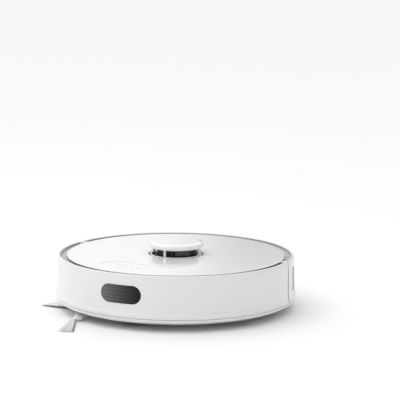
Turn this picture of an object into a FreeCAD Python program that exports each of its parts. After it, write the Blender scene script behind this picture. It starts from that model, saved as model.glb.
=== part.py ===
"""Round robot vacuum cleaner with a raised laser turret, built as an assembly.

Frame: +Z up, the floor at Z = 0, the origin on the floor under the centre of the
round body. The robot drives towards -Y, so its own right side is -X.
"""
import FreeCAD, Part
import math
import os
import re

from FreeCAD import Placement, Rotation, Vector
import Sketcher

NODE_FOLDER = "parts"

# Driving dimensions in millimetres (angles in degrees), one cell each.
SIZES = {
    # body outline
    "body_radius": 175.0, "wall_draft": 0.6, "rim_radius": 172.4, "rim_inner": 168.5, "rim_top": 78.9,
    "rim_shoulder": 75.4, "rim_flat": 170.9, "lip_low": 19.5, "lip_top": 22.3, "crease_height": 24.0,
    "wall_inner": 170.0, "flange_inner": 153.0, "flange_top": 74.0, "flange_low": 72.2,
    "seam_front": 11.3, "seam_rear": 15.7, "rib_width": 6.0, "rib_top": 77.6, "span": 400.0,
    "trim_inner": 153.6, "trim_outer": 168.3, "trim_top": 74.8,
    # chassis pan
    "floor_low": 10.5, "floor_top": 13.5, "pan_radius": 173.3, "pan_flat": 166.0, "pan_edge": 14.4,
    "pan_rim_top": 17.7, "pan_rim_inner": 163.2, "front_wall_inner": 160.4, "deck_low": 69.0,
    "deck_top": 71.5, "leg_outer": 169.0, "leg_inner": 165.0,
    # drive wheels
    "wheel_radius": 33.0, "wheel_side": 115.0, "wheel_ahead": 5.0, "wheel_width": 17.0,
    "tyre_depth": 5.0, "axle_radius": 4.0, "running_gap": 0.05, "well_inner": 92.2, "well_outer": 126.2,
    "well_front": -33.0, "well_rear": 60.0, "arm_inner": 93.0, "arm_outer": 105.0, "pivot_y": 44.0,
    "pivot_z": 46.0, "pivot_pin": 3.0, "pivot_boss": 15.0, "lug_thick": 4.0, "lug_low": 41.0,
    "axle_boss": 17.0, "motor_radius": 12.0, "motor_end": 60.0,
    "spring_radius": 4.5, "wire_radius": 0.5, "spring_y": -4.0, "spring_turns": 5.0,
    # caster
    "caster_y": -128.0, "caster_trail": 5.0, "caster_wheel": 12.5, "caster_width": 15.0,
    "caster_hole": 22.2, "socket_outer": 24.0, "socket_inner": 21.6, "socket_roof": 31.0,
    "socket_top": 46.0, "fork_radius": 20.3, "fork_low": 26.6, "fork_top": 29.6, "stem_radius": 5.0,
    "cheek_gap": 8.2, "cheek_thick": 2.4, "cheek_low": 8.6, "pin_radius": 2.0,
    # main brush and its chamber
    "brush_y": -36.0, "brush_z": 21.5, "brush_half": 84.0, "core_radius": 8.0, "disc_radius": 10.4,
    "disc_thick": 3.0, "fin_end": 4.0, "bristle_radius": 20.5,
    "fin_thick": 2.6, "mouth_half": 88.0, "mouth_front": -59.0, "mouth_rear": -13.0, "chamber_top": 48.0,
    "chamber_wall": 2.0, "gear_case_thick": 12.0, "gear_gap": 1.0, "brush_motor_y": -76.0,
    "brush_motor_z": 50.0, "brush_motor_radius": 13.0, "brush_motor_end": -48.0, "spindle_radius": 5.0,
    "spindle_long": 8.0, "guard_low": 8.7, "guard_half": 91.5, "guard_front": -64.5, "guard_back": -8.0,
    "guard_open_half": 83.0, "guard_open_front": -56.0, "guard_open_back": -16.0, "guard_bar": 1.6,
    # duct, dust box and fan
    "duct_half": 24.0, "duct_low": 24.0, "duct_high": 47.0, "duct_rear": 49.5, "duct_wall": 1.8,
    "box_half": 33.0, "box_front": 50.0, "box_low": 24.0, "box_high": 68.0, "box_wall": 2.0,
    "box_gap": 0.5, "lid_thick": 2.4, "face_radius": 172.6, "filter_thick": 7.0, "filter_front": 64.0,
    "filter_rear": 112.0, "filter_low": 30.0, "filter_high": 61.0, "port_half": 17.0, "port_low": 31.0,
    "port_high": 50.0, "flap_gap": 0.3, "flap_thick": 1.6, "flap_plane": 166.0, "latch_half": 11.0,
    "latch_low": 56.5, "latch_high": 63.5, "latch_front": 158.0, "latch_inset": 0.3,
    "pleat_pitch": 4.0, "pleat_deep": 4.0, "pleat_edge": 3.0, "hinge_drop": 1.5,
    "fan_y": 88.0, "fan_z": 44.0, "fan_left": 36.5, "fan_right": 60.0, "fan_radius": 24.0,
    "fan_wall": 2.0, "inlet_radius": 13.0, "impeller_radius": 20.6, "impeller_gap": 1.2,
    "blade_thick": 1.2, "shaft_radius": 2.5, "fan_motor_radius": 16.0, "fan_motor_end": 94.0,
    # laser turret
    "turret_radius": 37.8, "turret_inner": 35.2, "turret_ring_top": 78.5, "slot_top": 88.5,
    "post_width": 3.5, "post_depth": 2.4, "cap_radius": 40.5, "cap_top": 96.5, "cap_wall": 2.2,
    "cap_edge": 5.4, "rotor_radius": 31.0, "rotor_low": 72.4, "rotor_top": 87.4, "rotor_flat": 26.0,
    "well_radius": 36.0, "well_low": 63.0, "well_wall": 2.0, "bearing_radius": 11.0,
    "bearing_low": 59.5, "rotor_pulley": 22.0, "rotor_hub": 6.0, "pulley_low": 66.4, "pulley_high": 69.8,
    "motor_pulley": 3.6, "lidar_motor_y": 30.5, "lidar_motor_radius": 8.0, "lidar_motor_low": 48.5,
    "belt_thick": 1.0, "belt_low": 67.1, "belt_high": 69.1, "lens_radius": 4.2, "lens_apart": 6.2,
    # top cover and controls
    "cover_radius": 159.0, "cover_top": 78.2, "cover_low": 75.2, "cover_hole": 41.5, "cover_edge": 1.4,
    "skirt_outer": 147.0, "skirt_inner": 144.0, "panel_radius": 119.0, "panel_half": 21.0,
    "panel_sweep": 40.0, "panel_depth": 0.6, "power_x": -26.3, "power_y": -108.9, "home_x": 0.0,
    "home_y": -120.0, "lamp_x": 24.4, "lamp_y": -111.9, "power_wide": 20.0, "home_wide": 18.0,
    "lamp_wide": 12.0, "button_deep": 12.0, "lamp_deep": 5.0, "button_gap": 0.35, "button_top": 77.9,
    "button_low": 74.6, "button_stem": 2.4, "stem_low": 68.9, "stem_gap": 0.8, "key_low": 65.2,
    "key_thick": 1.6, "key_height": 1.1,
    # bumper window, springs and switches
    "window_half": 30.85, "window_middle": 50.55, "window_round": 12.75, "window_gap": 0.15,
    "bumper_spring_x": 25.0, "bumper_spring_z": 29.0, "bumper_spring_radius": 3.6,
    "bumper_spring_margin": 1.2, "switch_low": 45.0, "switch_angle": 55.0,
    "switch_radius": 154.0, "switch_long": 20.0, "switch_deep": 7.0, "switch_high": 10.0,
    # side brush
    "hub_x": -75.7, "hub_y": -118.5, "hub_radius": 11.0, "hub_low": 5.0, "hub_top": 10.0,
    "side_arm_long": 42.0, "side_arm_wide": 7.0, "side_arm_thick": 3.0, "side_reach": 103.6,
    "tuft_angle": 39.5, "tuft_wide": 29.0, "side_shaft": 3.0, "side_shaft_top": 24.0,
    "side_motor_radius": 12.0, "side_motor_top": 46.0, "side_hole": 7.0, "arm_slope": 6.0,
    # electrics
    "battery_half": 68.0, "battery_front": -102.0, "battery_rear": -66.6, "battery_low": 13.6,
    "battery_high": 35.0, "door_half": 71.0, "door_front": -103.0, "door_rear": -66.0, "door_gap": 0.3,
    "board_half": 68.0, "board_front": -98.0, "board_rear": -44.0, "board_low": 65.2, "board_thick": 1.6,
    "key_board_half": 38.0, "key_board_front": -136.0, "key_board_rear": -99.0,
    "speaker_x": -92.0, "speaker_y": 92.0, "speaker_radius": 19.0, "speaker_top": 30.0,
    "contact_x": 41.0, "contact_wide": 9.0, "contact_low": 40.0, "contact_high": 52.0,
    "sensor_radius": 152.0, "sensor_near": 18.0, "sensor_far": 62.0, "sensor_long": 18.0,
    "sensor_wide": 8.0, "sensor_gap": 0.1, "grille_from": 19.0, "grille_to": 54.0, "grille_low": 31.0,
    "grille_high": 65.0, "grille_slats": 6.0, "slat_thick": 1.8, "screw_radius": 3.4,
    "screw_deep": 1.6, "screw_long": 8.0, "screw_circle": 158.0, "screw_slot": 2.2,
    "chip_thick": 1.4, "eye_above": 10.5,
}

SCREW_ANGLES = (-80, -42, 42, 80, 118, 150, 180, 210, 242)
CHIPS = ((-40, -80, 14), (5, -84, 10), (28, -66, 12), (-10, -60, 8))
FIN_COUNT = 6
PLEAT_COUNT = 11
BLADE_COUNT = 8
POST_TURNS = (0, 90, 180, 270)
HEAD_TURN = 45

doc = FreeCAD.newDocument("RobotVacuum")
sheet = doc.addObject("Spreadsheet::Sheet", "Sizes")
for row, (alias, number) in enumerate(SIZES.items(), start=1):
    sheet.set(f"A{row}", str(number))
    sheet.setAlias(f"A{row}", alias)
doc.recompute()

nodes = []


# --- small modelling helpers -------------------------------------------------------

def formula(text):
    """Turn a formula in plain cell names into one that reads the sheet."""
    return re.sub(r"[a-z_]{3,}", lambda m: "Sizes." + m.group(0) if m.group(0) in SIZES else m.group(0),
                  str(text))


def value(text):
    """Work out a formula now, for shapes that are computed in this file."""
    return float(sheet.evalExpression(formula(text)))


def bind(item, prop, text):
    item.setExpression(prop, formula(text))


def place(item, at, turn=None):
    """Stand an object at a bound point, turned by a rotation."""
    item.Placement = Placement(Vector(), turn or Rotation())
    for axis, text in zip("xyz", at):
        bind(item, "Placement.Base." + axis, text)
    return item


def towards(axis):
    return Rotation(Vector(0, 0, 1), {"X": Vector(1, 0, 0), "Y": Vector(0, 1, 0), "Z": Vector(0, 0, 1)}[axis])


def box(low_x, high_x, low_y, high_y, low_z, high_z):
    """A box from its six bound planes."""
    item = doc.addObject("Part::Box", "Block")
    bind(item, "Length", f"({high_x})-({low_x})")
    bind(item, "Width", f"({high_y})-({low_y})")
    bind(item, "Height", f"({high_z})-({low_z})")
    return place(item, (low_x, low_y, low_z))


def rod(radius, low, high, across, axis="Z"):
    """A cylinder along an axis from low to high; across gives its other two coordinates."""
    item = doc.addObject("Part::Cylinder", "Rod")
    bind(item, "Radius", radius)
    bind(item, "Height", f"({high})-({low})")
    first, second = across
    at = {"X": (low, first, second), "Y": (first, low, second), "Z": (first, second, low)}[axis]
    return place(item, at, towards(axis))


def join(*items):
    item = doc.addObject("Part::MultiFuse", "Joined")
    item.Shapes = list(items)
    return item


def cut(base, *tools):
    item = doc.addObject("Part::Cut", "Trimmed")
    item.Base = base
    item.Tool = tools[0] if len(tools) == 1 else join(*tools)
    return item


def common(first, second):
    item = doc.addObject("Part::Common", "Shared")
    item.Base = first
    item.Tool = second
    return item


def group(*items):
    """Separate identical solids that share one node."""
    item = doc.addObject("Part::Compound", "Set")
    item.Links = list(items)
    return item


def turned(item, angle, centre=("0", "0")):
    """A copy of an object turned about a vertical line."""
    copy = doc.addObject("Part::Feature", "Turned")
    doc.recompute()
    shape = item.Shape.copy()
    shape.rotate(Vector(value(centre[0]), value(centre[1]), 0), Vector(0, 0, 1), angle)
    copy.Shape = shape
    return copy


def mirrored(item):
    """The same piece on the other side of the centre plane X = 0."""
    copy = doc.addObject("Part::Mirroring", "Mirrored")
    copy.Source = item
    copy.Base = Vector(0, 0, 0)
    copy.Normal = Vector(1, 0, 0)
    return copy


def outline(body, points, plane):
    """A closed straight-sided sketch whose corners are all bound to the sheet."""
    sketch = body.newObject("Sketcher::SketchObject", "Outline")
    support = [part for part in body.Origin.OriginFeatures if part.Role == plane + "_Plane"][0]
    sketch.AttachmentSupport = [(support, "")]
    sketch.MapMode = "FlatFace"
    corners = [Vector(value(across), value(up), 0) for across, up in points]
    count = len(corners)
    for index in range(count):
        sketch.addGeometry(Part.LineSegment(corners[index], corners[(index + 1) % count]), False)
    for index, (across, up) in enumerate(points):
        after = (index + 1) % count
        sketch.addConstraint(Sketcher.Constraint("Coincident", index, 2, after, 1))
        for kind, text, corner in (("DistanceX", across, corners[index].x),
                                   ("DistanceY", up, corners[index].y)):
            number = sketch.addConstraint(Sketcher.Constraint(kind, -1, 1, index, 1, corner))
            sketch.setExpression(f"Constraints[{number}]", formula(text))
    return sketch


def spun(points):
    """A body of revolution about Z from corners given as (radius, height)."""
    body = doc.addObject("PartDesign::Body", "Spun")
    sketch = outline(body, points, "XZ")
    feature = body.newObject("PartDesign::Revolution", "Turn")
    feature.Profile = sketch
    feature.ReferenceAxis = (sketch, ["V_Axis"])
    feature.Angle = 360
    return body


def slab(points, low, high):
    """A plate across X from low to high, from corners given as (y, z)."""
    body = doc.addObject("PartDesign::Body", "Slab")
    sketch = outline(body, points, "YZ")
    feature = body.newObject("PartDesign::Pad", "Thickness")
    feature.Profile = sketch
    bind(feature, "Length", f"({high})-({low})")
    body.Placement = Placement()
    bind(body, "Placement.Base.x", low)
    return body


def rounded(body, radius, chosen):
    """Fillet the edges of a body that a test picks out."""
    doc.recompute()
    base = body.Tip
    names = [f"Edge{number}" for number, edge in enumerate(base.Shape.Edges, start=1) if chosen(edge)]
    feature = body.newObject("PartDesign::Fillet", "Rounding")
    feature.Base = (base, names)
    bind(feature, "Radius", radius)
    return body


def circle_at(radius, height):
    """A test for a full circular edge of a radius at a height."""
    def chosen(edge):
        curve = edge.Curve
        return (isinstance(curve, Part.Circle) and abs(curve.Radius - value(radius)) < 0.01
                and abs(edge.BoundBox.ZMin - value(height)) < 0.01)
    return chosen


def capsule(half, depth, low, high, at):
    """An upright plate with two round ends, long along X: half is its half length."""
    x, y = at
    radius = f"({depth})/2"
    reach = f"({half})-({depth})/2"
    left, right = f"({x})-({reach})", f"({x})+({reach})"
    return join(rod(radius, low, high, (left, y)), rod(radius, low, high, (right, y)),
                box(left, right, f"({y})-({radius})", f"({y})+({radius})", low, high))


def coil(radius, wire, turns, start, length, axis):
    """A round-wire compression spring."""
    pitch = length / turns
    helix = Part.makeHelix(pitch, length, radius)
    ring = Part.Wire(Part.makeCircle(wire, Vector(radius, 0, 0), Vector(0, 1, 0)))
    item = doc.addObject("Part::Feature", "Coil")
    item.Shape = Part.Wire(helix).makePipeShell([ring], True, True)
    item.Placement = Placement(Vector(*start), towards(axis))
    return item


def node(label, item):
    """Name a finished piece; its label is also its file name."""
    item.Label = label
    nodes.append(item)
    return item


# --- outer shells ------------------------------------------------------------------

def body_wall():
    """The drafted outer wall with its lower lip, rounded rim and channel floor."""
    wall = spun([("wall_inner", "lip_low"), ("body_radius", "lip_low"), ("body_radius", "lip_top"),
                 ("body_radius-wall_draft", "crease_height"), ("rim_radius", "rim_shoulder"),
                 ("rim_flat", "rim_top"), ("rim_inner", "rim_top-wall_draft"), ("rim_inner", "flange_top"),
                 ("flange_inner", "flange_top"), ("flange_inner", "flange_low"), ("rim_inner", "flange_low"),
                 ("wall_inner", "flange_low-wall_draft")])
    return rounded(wall, "wall_draft*2", circle_at("rim_radius", "rim_shoulder"))


def before_seam():
    return box("-span/2", "span/2", "-span/2", "seam_front", "0", "span")


def behind_seam():
    return box("-span/2", "span/2", "seam_rear", "span/2", "0", "span")


def window_plug(gap):
    """The long window shape, drawn through the front wall along Y."""
    reach = "window_half-window_round"
    ends = [rod(f"window_round-{gap}", "-span/2", "0", (f"{side}({reach})", "window_middle"), "Y")
            for side in ("-", "")]
    middle = box(f"-({reach})", reach, "-span/2", "0", f"window_middle-window_round+{gap}",
                 f"window_middle+window_round-{gap}")
    return join(middle, *ends)


def trim_ring():
    return spun([("trim_inner", "flange_top"), ("trim_outer", "flange_top"), ("trim_outer", "trim_top"),
                 ("trim_inner", "trim_top")])


def build_bumper():
    front = common(body_wall(), before_seam())
    node("bumper", cut(front, window_plug("0")))
    glass_wall = spun([("wall_inner", "lip_low"), ("body_radius-wall_draft", "crease_height"),
                       ("rim_radius", "rim_shoulder"), ("wall_inner", "rim_shoulder")])
    node("sensor_window", common(glass_wall, window_plug("window_gap")))
    node("bumper_trim_ring", common(trim_ring(), before_seam()))


def build_bumper_springs():
    """Two coil springs between the chassis front wall and the bumper."""
    wall = math.sqrt(value("pan_rim_inner") ** 2 - value("bumper_spring_x") ** 2)
    skin = math.sqrt(value("wall_inner") ** 2 - value("bumper_spring_x") ** 2)
    margin = value("bumper_spring_margin")
    spring = coil(value("bumper_spring_radius"), value("wire_radius"), 3,
                  (value("bumper_spring_x"), -skin + margin, value("bumper_spring_z")),
                  skin - wall - 2 * margin, "Y")
    node("bumper_springs", group(spring, mirrored(spring)))


def vent_range():
    """The stretch along Y that the flank vents take."""
    return box("-span/2", "span/2", "seam_rear+grille_from", "seam_rear+grille_to", "0", "span")


def build_rear_shell():
    legs = spun([("leg_inner", "pan_rim_top"), ("leg_outer", "pan_rim_top"), ("leg_outer", "lip_low+3"),
                 ("wall_inner+1", "lip_low+3"), ("wall_inner+1", "flange_low"), ("rim_inner", "flange_low"),
                 ("leg_inner", "lip_low+5")])
    shelf = spun([("flange_inner", "deck_top"), ("rim_inner", "deck_top"), ("rim_inner", "flange_top"),
                  ("flange_inner", "flange_top")])
    ring = common(join(body_wall(), legs, shelf), behind_seam())
    bridge = common(spun([("cover_radius+0.4", "flange_top"), ("rim_inner+1", "flange_top"),
                          ("rim_inner+1", "rib_top"), ("cover_radius+0.4", "rib_top")]),
                    box("-span/2", "span/2", "seam_rear", "seam_rear+rib_width", "0", "span"))
    vents = common(cut(rod("body_radius+5", "grille_low", "grille_high", ("0", "0")),
                       rod("leg_inner-5", "0", "span", ("0", "0"))), vent_range())
    mouth = box("-(box_half+box_gap)", "box_half+box_gap", "100", "span", "box_low-box_gap",
                "box_high+box_gap")
    pads = [box(f"{side}contact_x-contact_wide/2", f"{side}contact_x+contact_wide/2", "100", "span",
                "contact_low", "contact_high") for side in ("-", "")]
    node("rear_shell", cut(join(ring, bridge), vents, mouth, *pads))
    contacts = common(spun([("wall_inner-3", "contact_low"), ("body_radius-1.2", "contact_low"),
                            ("body_radius-1.8", "contact_high"), ("wall_inner-3", "contact_high")]),
                      join(*[box(f"{side}contact_x-contact_wide/2", f"{side}contact_x+contact_wide/2", "100",
                                 "span", "contact_low", "contact_high") for side in ("-", "")]))
    node("charging_contacts", contacts)
    rear_ring = common(trim_ring(), box("-span/2", "span/2", "seam_rear+rib_width", "span/2", "0", "span"))
    node("rear_trim_ring", rear_ring)
    build_side_grilles()


def build_side_grilles():
    """Slatted vents in both flanks: fan exhaust on one side, loudspeaker on the other."""
    outer = spun([("leg_outer-1", "grille_low"), ("body_radius-1.6", "grille_low"),
                  ("body_radius-2.9", "grille_high"), ("leg_outer-1", "grille_high")])
    back = spun([("leg_outer-1", "grille_low"), ("leg_outer+0.8", "grille_low"),
                 ("leg_outer+0.8", "grille_high"), ("leg_outer-1", "grille_high")])
    slots = []
    count = int(value("grille_slats"))
    pitch = (value("grille_high") - value("grille_low")) / count
    for index in range(count):
        low = value("grille_low") + index * pitch + value("slat_thick") / 2
        slots.append(box("-span/2", "span/2", "seam_rear+grille_from+2", "seam_rear+grille_to-2",
                         str(low), str(low + pitch - value("slat_thick"))))
    node("side_grilles", common(join(cut(outer, *slots), back), vent_range()))


# --- chassis -----------------------------------------------------------------------

def around(radius, angle):
    """The bound point at a radius, an angle away from straight ahead."""
    return (f"{radius}*sin({angle})", f"-({radius}*cos({angle}))")


def sensor_places():
    """How far each cliff sensor is turned from straight ahead."""
    return [side * SIZES[name] for name in ("sensor_near", "sensor_far") for side in (-1, 1)]


def sensor_block(angle, shrink, low, high):
    """A downward sensor lens or its hole, long side along the body's edge."""
    item = doc.addObject("Part::Box", "Block")
    bind(item, "Length", f"sensor_long-2*{shrink}")
    bind(item, "Width", f"sensor_wide-2*{shrink}")
    bind(item, "Height", f"({high})-({low})")
    length = value("sensor_long") / 2 - value(shrink)
    width = value("sensor_wide") / 2 - value(shrink)
    start = Vector(-length, -value("sensor_radius") - width, value(low))
    spin = Rotation(Vector(0, 0, 1), angle)
    item.Placement = Placement(spin.multVec(start), spin)
    return item


def screw_places():
    """Case screws round the pan, clear of the wells, the brush and the caster."""
    radius = value("screw_circle")
    return [(radius * math.sin(math.radians(angle)), -radius * math.cos(math.radians(angle)))
            for angle in SCREW_ANGLES]


def build_base_chassis():
    pan = spun([("0", "floor_low"), ("pan_flat", "floor_low"), ("pan_radius", "pan_edge"),
                ("pan_radius", "pan_rim_top"), ("pan_rim_inner", "pan_rim_top"),
                ("pan_rim_inner", "floor_top"), ("0", "floor_top")])
    front_wall = common(cut(rod("pan_rim_inner", "floor_top", "deck_low", ("0", "0")),
                            rod("front_wall_inner", "0", "span", ("0", "0"))), before_seam())
    node("front_wall", front_wall)
    holes = [box(low, high, "well_front", "well_rear", "0", "floor_top+1")
             for low, high in (("well_inner", "well_outer"), ("-well_outer", "-well_inner"))]
    holes.append(box("-mouth_half", "mouth_half", "mouth_front", "mouth_rear", "0", "floor_top+1"))
    holes.append(box("-door_half", "door_half", "door_front", "door_rear", "0", "floor_top+1"))
    holes.append(rod("caster_hole", "0", "floor_top+1", ("0", "caster_y")))
    holes.append(rod("side_hole", "0", "floor_top+1", ("hub_x", "hub_y")))
    holes += [sensor_block(angle, "0", "0", "floor_top+1") for angle in sensor_places()]
    holes += [rod("screw_radius", "0", "floor_low+screw_deep", (x, y)) for x, y in screw_places()]
    holes += [rod("screw_radius/2", "0", "floor_low+screw_long", (x, y)) for x, y in screw_places()]
    node("base_chassis", cut(pan, *holes))
    lenses = [sensor_block(angle, "sensor_gap", "floor_low+0.4", "floor_top") for angle in sensor_places()]
    node("cliff_sensors", group(*lenses))
    screws = []
    for x, y in screw_places():
        head = rod("screw_radius", "floor_low+0.2", "floor_low+screw_deep", (x, y))
        shank = rod("screw_radius/2", "floor_low+screw_deep", "floor_low+screw_long", (x, y))
        slot_cut = box(f"{x}-screw_slot", f"{x}+screw_slot", f"{y}-0.5", f"{y}+0.5", "floor_low",
                       "floor_low+0.9")
        screws.append(cut(join(head, shank), slot_cut))
    node("case_screws", group(*screws))


def build_mid_deck():
    plate = spun([("0", "well_low"), ("well_radius+well_wall", "well_low"),
                  ("well_radius+well_wall", "deck_low"), ("pan_rim_inner", "deck_low"),
                  ("pan_rim_inner", "deck_top"),
                  ("well_radius", "deck_top"), ("well_radius", "well_low+well_wall"),
                  ("0", "well_low+well_wall")])
    boss = rod("bearing_radius+2", "bearing_low", "well_low+well_wall", ("0", "0"))
    holes = [rod("bearing_radius", "bearing_low-1", "well_low+well_wall+1", ("0", "0")),
             rod("motor_pulley", "well_low-1", "well_low+well_wall+1", ("0", "lidar_motor_y"))]
    for x, y in (("power_x", "power_y"), ("home_x", "home_y"), ("lamp_x", "lamp_y")):
        holes.append(rod("button_stem+stem_gap", "deck_low-1", "deck_top+1", (x, y)))
    lugs = []
    for inner in ("arm_outer+2", "motor_end-lug_thick-1", "-arm_outer-2-lug_thick", "-motor_end+1"):
        lugs.append(box(inner, f"{inner}+lug_thick", "pivot_y-pivot_pin-1.5", "pivot_y+pivot_pin+2.5",
                        "lug_low", "deck_low+1"))
    holes.append(rod("pivot_pin+running_gap", "-span/2", "span/2", ("pivot_y", "pivot_z"), "X"))
    node("mid_deck", cut(join(plate, boss, *lugs), *holes))


# --- drive wheels ------------------------------------------------------------------

def build_wheel(side):
    """One drive wheel module: swinging gear case, motor, wheel hub and tyre."""
    flip = mirrored if side == "right" else (lambda item: item)
    pivot = ("pivot_y", "pivot_z")
    axle = ("wheel_ahead", "wheel_radius")
    web = slab([("wheel_ahead-axle_boss*0.35", "wheel_radius+axle_boss*0.93"),
                ("wheel_ahead+axle_boss*0.35", "wheel_radius-axle_boss*0.93"),
                ("pivot_y+pivot_boss*0.35", "pivot_z-pivot_boss*0.93"),
                ("pivot_y-pivot_boss*0.35", "pivot_z+pivot_boss*0.93")], "arm_inner", "arm_outer")
    case = join(rod("axle_boss", "arm_inner", "arm_outer", axle, "X"),
                rod("pivot_boss", "arm_inner", "arm_outer", pivot, "X"), web)
    bore = rod("axle_radius+running_gap", "arm_inner+2", "arm_outer+1", axle, "X")
    pin = rod("pivot_pin", "arm_outer-1", "arm_outer+2+lug_thick", pivot, "X")
    node(f"{side}_wheel_arm", flip(join(cut(case, bore), pin)))
    can = rod("motor_radius", "motor_end", "arm_inner", pivot, "X")
    tail = rod("pivot_pin", "motor_end-lug_thick-2", "motor_end", pivot, "X")
    node(f"{side}_wheel_motor", flip(join(can, tail)))
    inner = "wheel_side-wheel_width/2"
    outer = "wheel_side+wheel_width/2"
    rim = rod("wheel_radius-tyre_depth", inner, outer, axle, "X")
    shaft = rod("axle_radius", "arm_inner+3", inner, axle, "X")
    dish = rod("wheel_radius-tyre_depth-4", f"{outer}-4", f"{outer}+1", axle, "X")
    centre = rod("axle_radius+4", f"{outer}-5", f"{outer}-1", axle, "X")
    node(f"{side}_wheel_hub", flip(join(cut(rim, dish), shaft, centre)))
    band = cut(rod("wheel_radius", inner, outer, axle, "X"),
               rod("wheel_radius-tyre_depth", inner, outer, axle, "X"))
    node(f"{side}_tyre", flip(band))
    foot = value("wheel_radius+axle_boss") - 1.2
    spring = coil(value("spring_radius"), value("wire_radius"), value("spring_turns"),
                  (value("(arm_inner+arm_outer)/2"), value("spring_y"), foot + 2.2),
                  value("deck_low") - foot - 3, "Z")
    node(f"{side}_suspension_spring", flip(spring))


# --- caster ------------------------------------------------------------------------

def build_caster():
    middle = ("0", "caster_y")
    cup = join(rod("socket_outer", "floor_top", "socket_roof+3", middle),
               rod("stem_radius+3", "socket_roof", "socket_top", middle))
    node("caster_socket", cut(cup, rod("socket_inner", "0", "socket_roof", middle),
                              rod("stem_radius+running_gap", "0", "socket_top-2", middle)))
    wheel_y = "caster_y+caster_trail"
    plate = rod("fork_radius", "fork_low", "fork_top", middle)
    stem = rod("stem_radius", "fork_top-1", "socket_top-3", middle)
    reach = "caster_wheel-2"
    cheeks = [box(low, high, f"{wheel_y}-{reach}*0.6", f"{wheel_y}+{reach}*0.6", "cheek_low",
                  "fork_low+0.5")
              for low, high in (("cheek_gap", "cheek_gap+cheek_thick"),
                                ("-cheek_gap-cheek_thick", "-cheek_gap"))]
    pin_hole = rod("pin_radius+running_gap", "-cheek_gap-cheek_thick-1", "cheek_gap+cheek_thick+1",
                   (wheel_y, "caster_wheel"), "X")
    node("caster_fork", cut(join(plate, stem, *cheeks), pin_hole))
    roller = rod("caster_wheel", "-caster_width/2", "caster_width/2", (wheel_y, "caster_wheel"), "X")
    pin = rod("pin_radius", "-cheek_gap-cheek_thick", "cheek_gap+cheek_thick", (wheel_y, "caster_wheel"), "X")
    node("caster_wheel", join(roller, pin))


# --- main brush --------------------------------------------------------------------

def bar_places():
    """Where the guard's bars cross the brush; the bristles leave a gap at each."""
    return [f"{step}*guard_open_half/3" for step in (-2, -1, 0, 1, 2)]


def build_main_brush():
    middle = ("brush_y", "brush_z")
    core = join(rod("core_radius", "-brush_half", "brush_half", middle, "X"),
                rod("disc_radius", "-brush_half", "-brush_half+disc_thick", middle, "X"),
                rod("disc_radius", "brush_half-disc_thick", "brush_half", middle, "X"),
                rod("spindle_radius", "-brush_half-spindle_long", "brush_half+spindle_long-2", middle, "X"))
    node("main_brush_core", core)
    fins = []
    for index in range(FIN_COUNT):
        fin = doc.addObject("Part::Box", "Fin")
        bind(fin, "Length", "(brush_half-fin_end)*2")
        bind(fin, "Width", "fin_thick")
        bind(fin, "Height", "bristle_radius-core_radius+0.5")
        spin = Rotation(Vector(1, 0, 0), index * 360.0 / FIN_COUNT)
        start = spin.multVec(Vector(0, -value("fin_thick") / 2, value("core_radius") - 0.5))
        centre = Vector(value("fin_end-brush_half"), value("brush_y"), value("brush_z"))
        fin.Placement = Placement(centre + start, spin)
        fins.append(fin)
    gaps = []
    for x in bar_places():
        ring = rod("bristle_radius+1", f"{x}-guard_bar", f"{x}+guard_bar", middle, "X")
        gaps.append(cut(ring, rod("disc_radius", "-span/2", "span/2", middle, "X")))
    bristles = cut(join(*fins), rod("core_radius", "-span/2", "span/2", middle, "X"), *gaps)
    node("main_brush_bristles", bristles)


def build_brush_chamber():
    wall = "chamber_wall"
    shell = box(f"-mouth_half-{wall}", f"mouth_half+{wall}", f"mouth_front-{wall}", f"mouth_rear+{wall}",
                "floor_top", "chamber_top")
    inside = box("-mouth_half", "mouth_half", "mouth_front", "mouth_rear", "0", f"chamber_top-{wall}")
    outlet = box("-duct_half+duct_wall", "duct_half-duct_wall", "mouth_rear-1", f"mouth_rear+{wall}+1",
                 "duct_low+duct_wall", "duct_high-duct_wall")
    bores = rod("spindle_radius+running_gap", "-span/2", "span/2", ("brush_y", "brush_z"), "X")
    node("brush_chamber", cut(shell, inside, outlet, bores))
    tube = cut(box("-duct_half", "duct_half", f"mouth_rear+{wall}", "duct_rear", "duct_low", "duct_high"),
               box("-duct_half+duct_wall", "duct_half-duct_wall", "-span/2", "span/2", "duct_low+duct_wall",
                   "duct_high-duct_wall"))
    node("suction_duct", tube)


def build_brush_motor():
    """The brush drive: a gear case beside the chamber with its motor above the battery."""
    inner = "-mouth_half-chamber_wall-gear_gap"
    outer = f"{inner}-gear_case_thick"
    case = slab([("brush_y-7.5", "floor_top+0.2"), ("brush_y+8", "floor_top+0.2"), ("brush_y+8", "brush_z+8"),
                 ("brush_motor_y+12", "brush_motor_z+13"), ("brush_motor_y-9", "brush_motor_z+13"),
                 ("brush_motor_y-9", "brush_motor_z-10")], outer, inner)
    can = rod("brush_motor_radius", inner, "brush_motor_end", ("brush_motor_y", "brush_motor_z"), "X")
    bore = rod("spindle_radius+running_gap", f"{inner}-2", f"{inner}+1", ("brush_y", "brush_z"), "X")
    node("brush_motor", cut(join(case, can), bore))


def build_brush_guard():
    plate = box("-guard_half", "guard_half", "guard_front", "guard_back", "guard_low", "floor_low")
    opening = box("-guard_open_half", "guard_open_half", "guard_open_front", "guard_open_back", "0", "span")
    bars = []
    for x in bar_places():
        bars.append(box(f"{x}-guard_bar/2", f"{x}+guard_bar/2", "guard_open_front-1", "guard_open_back+1",
                        "guard_low", "guard_low+guard_bar"))
    node("brush_guard", join(cut(plate, opening), *bars))


# --- side brush --------------------------------------------------------------------

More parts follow.
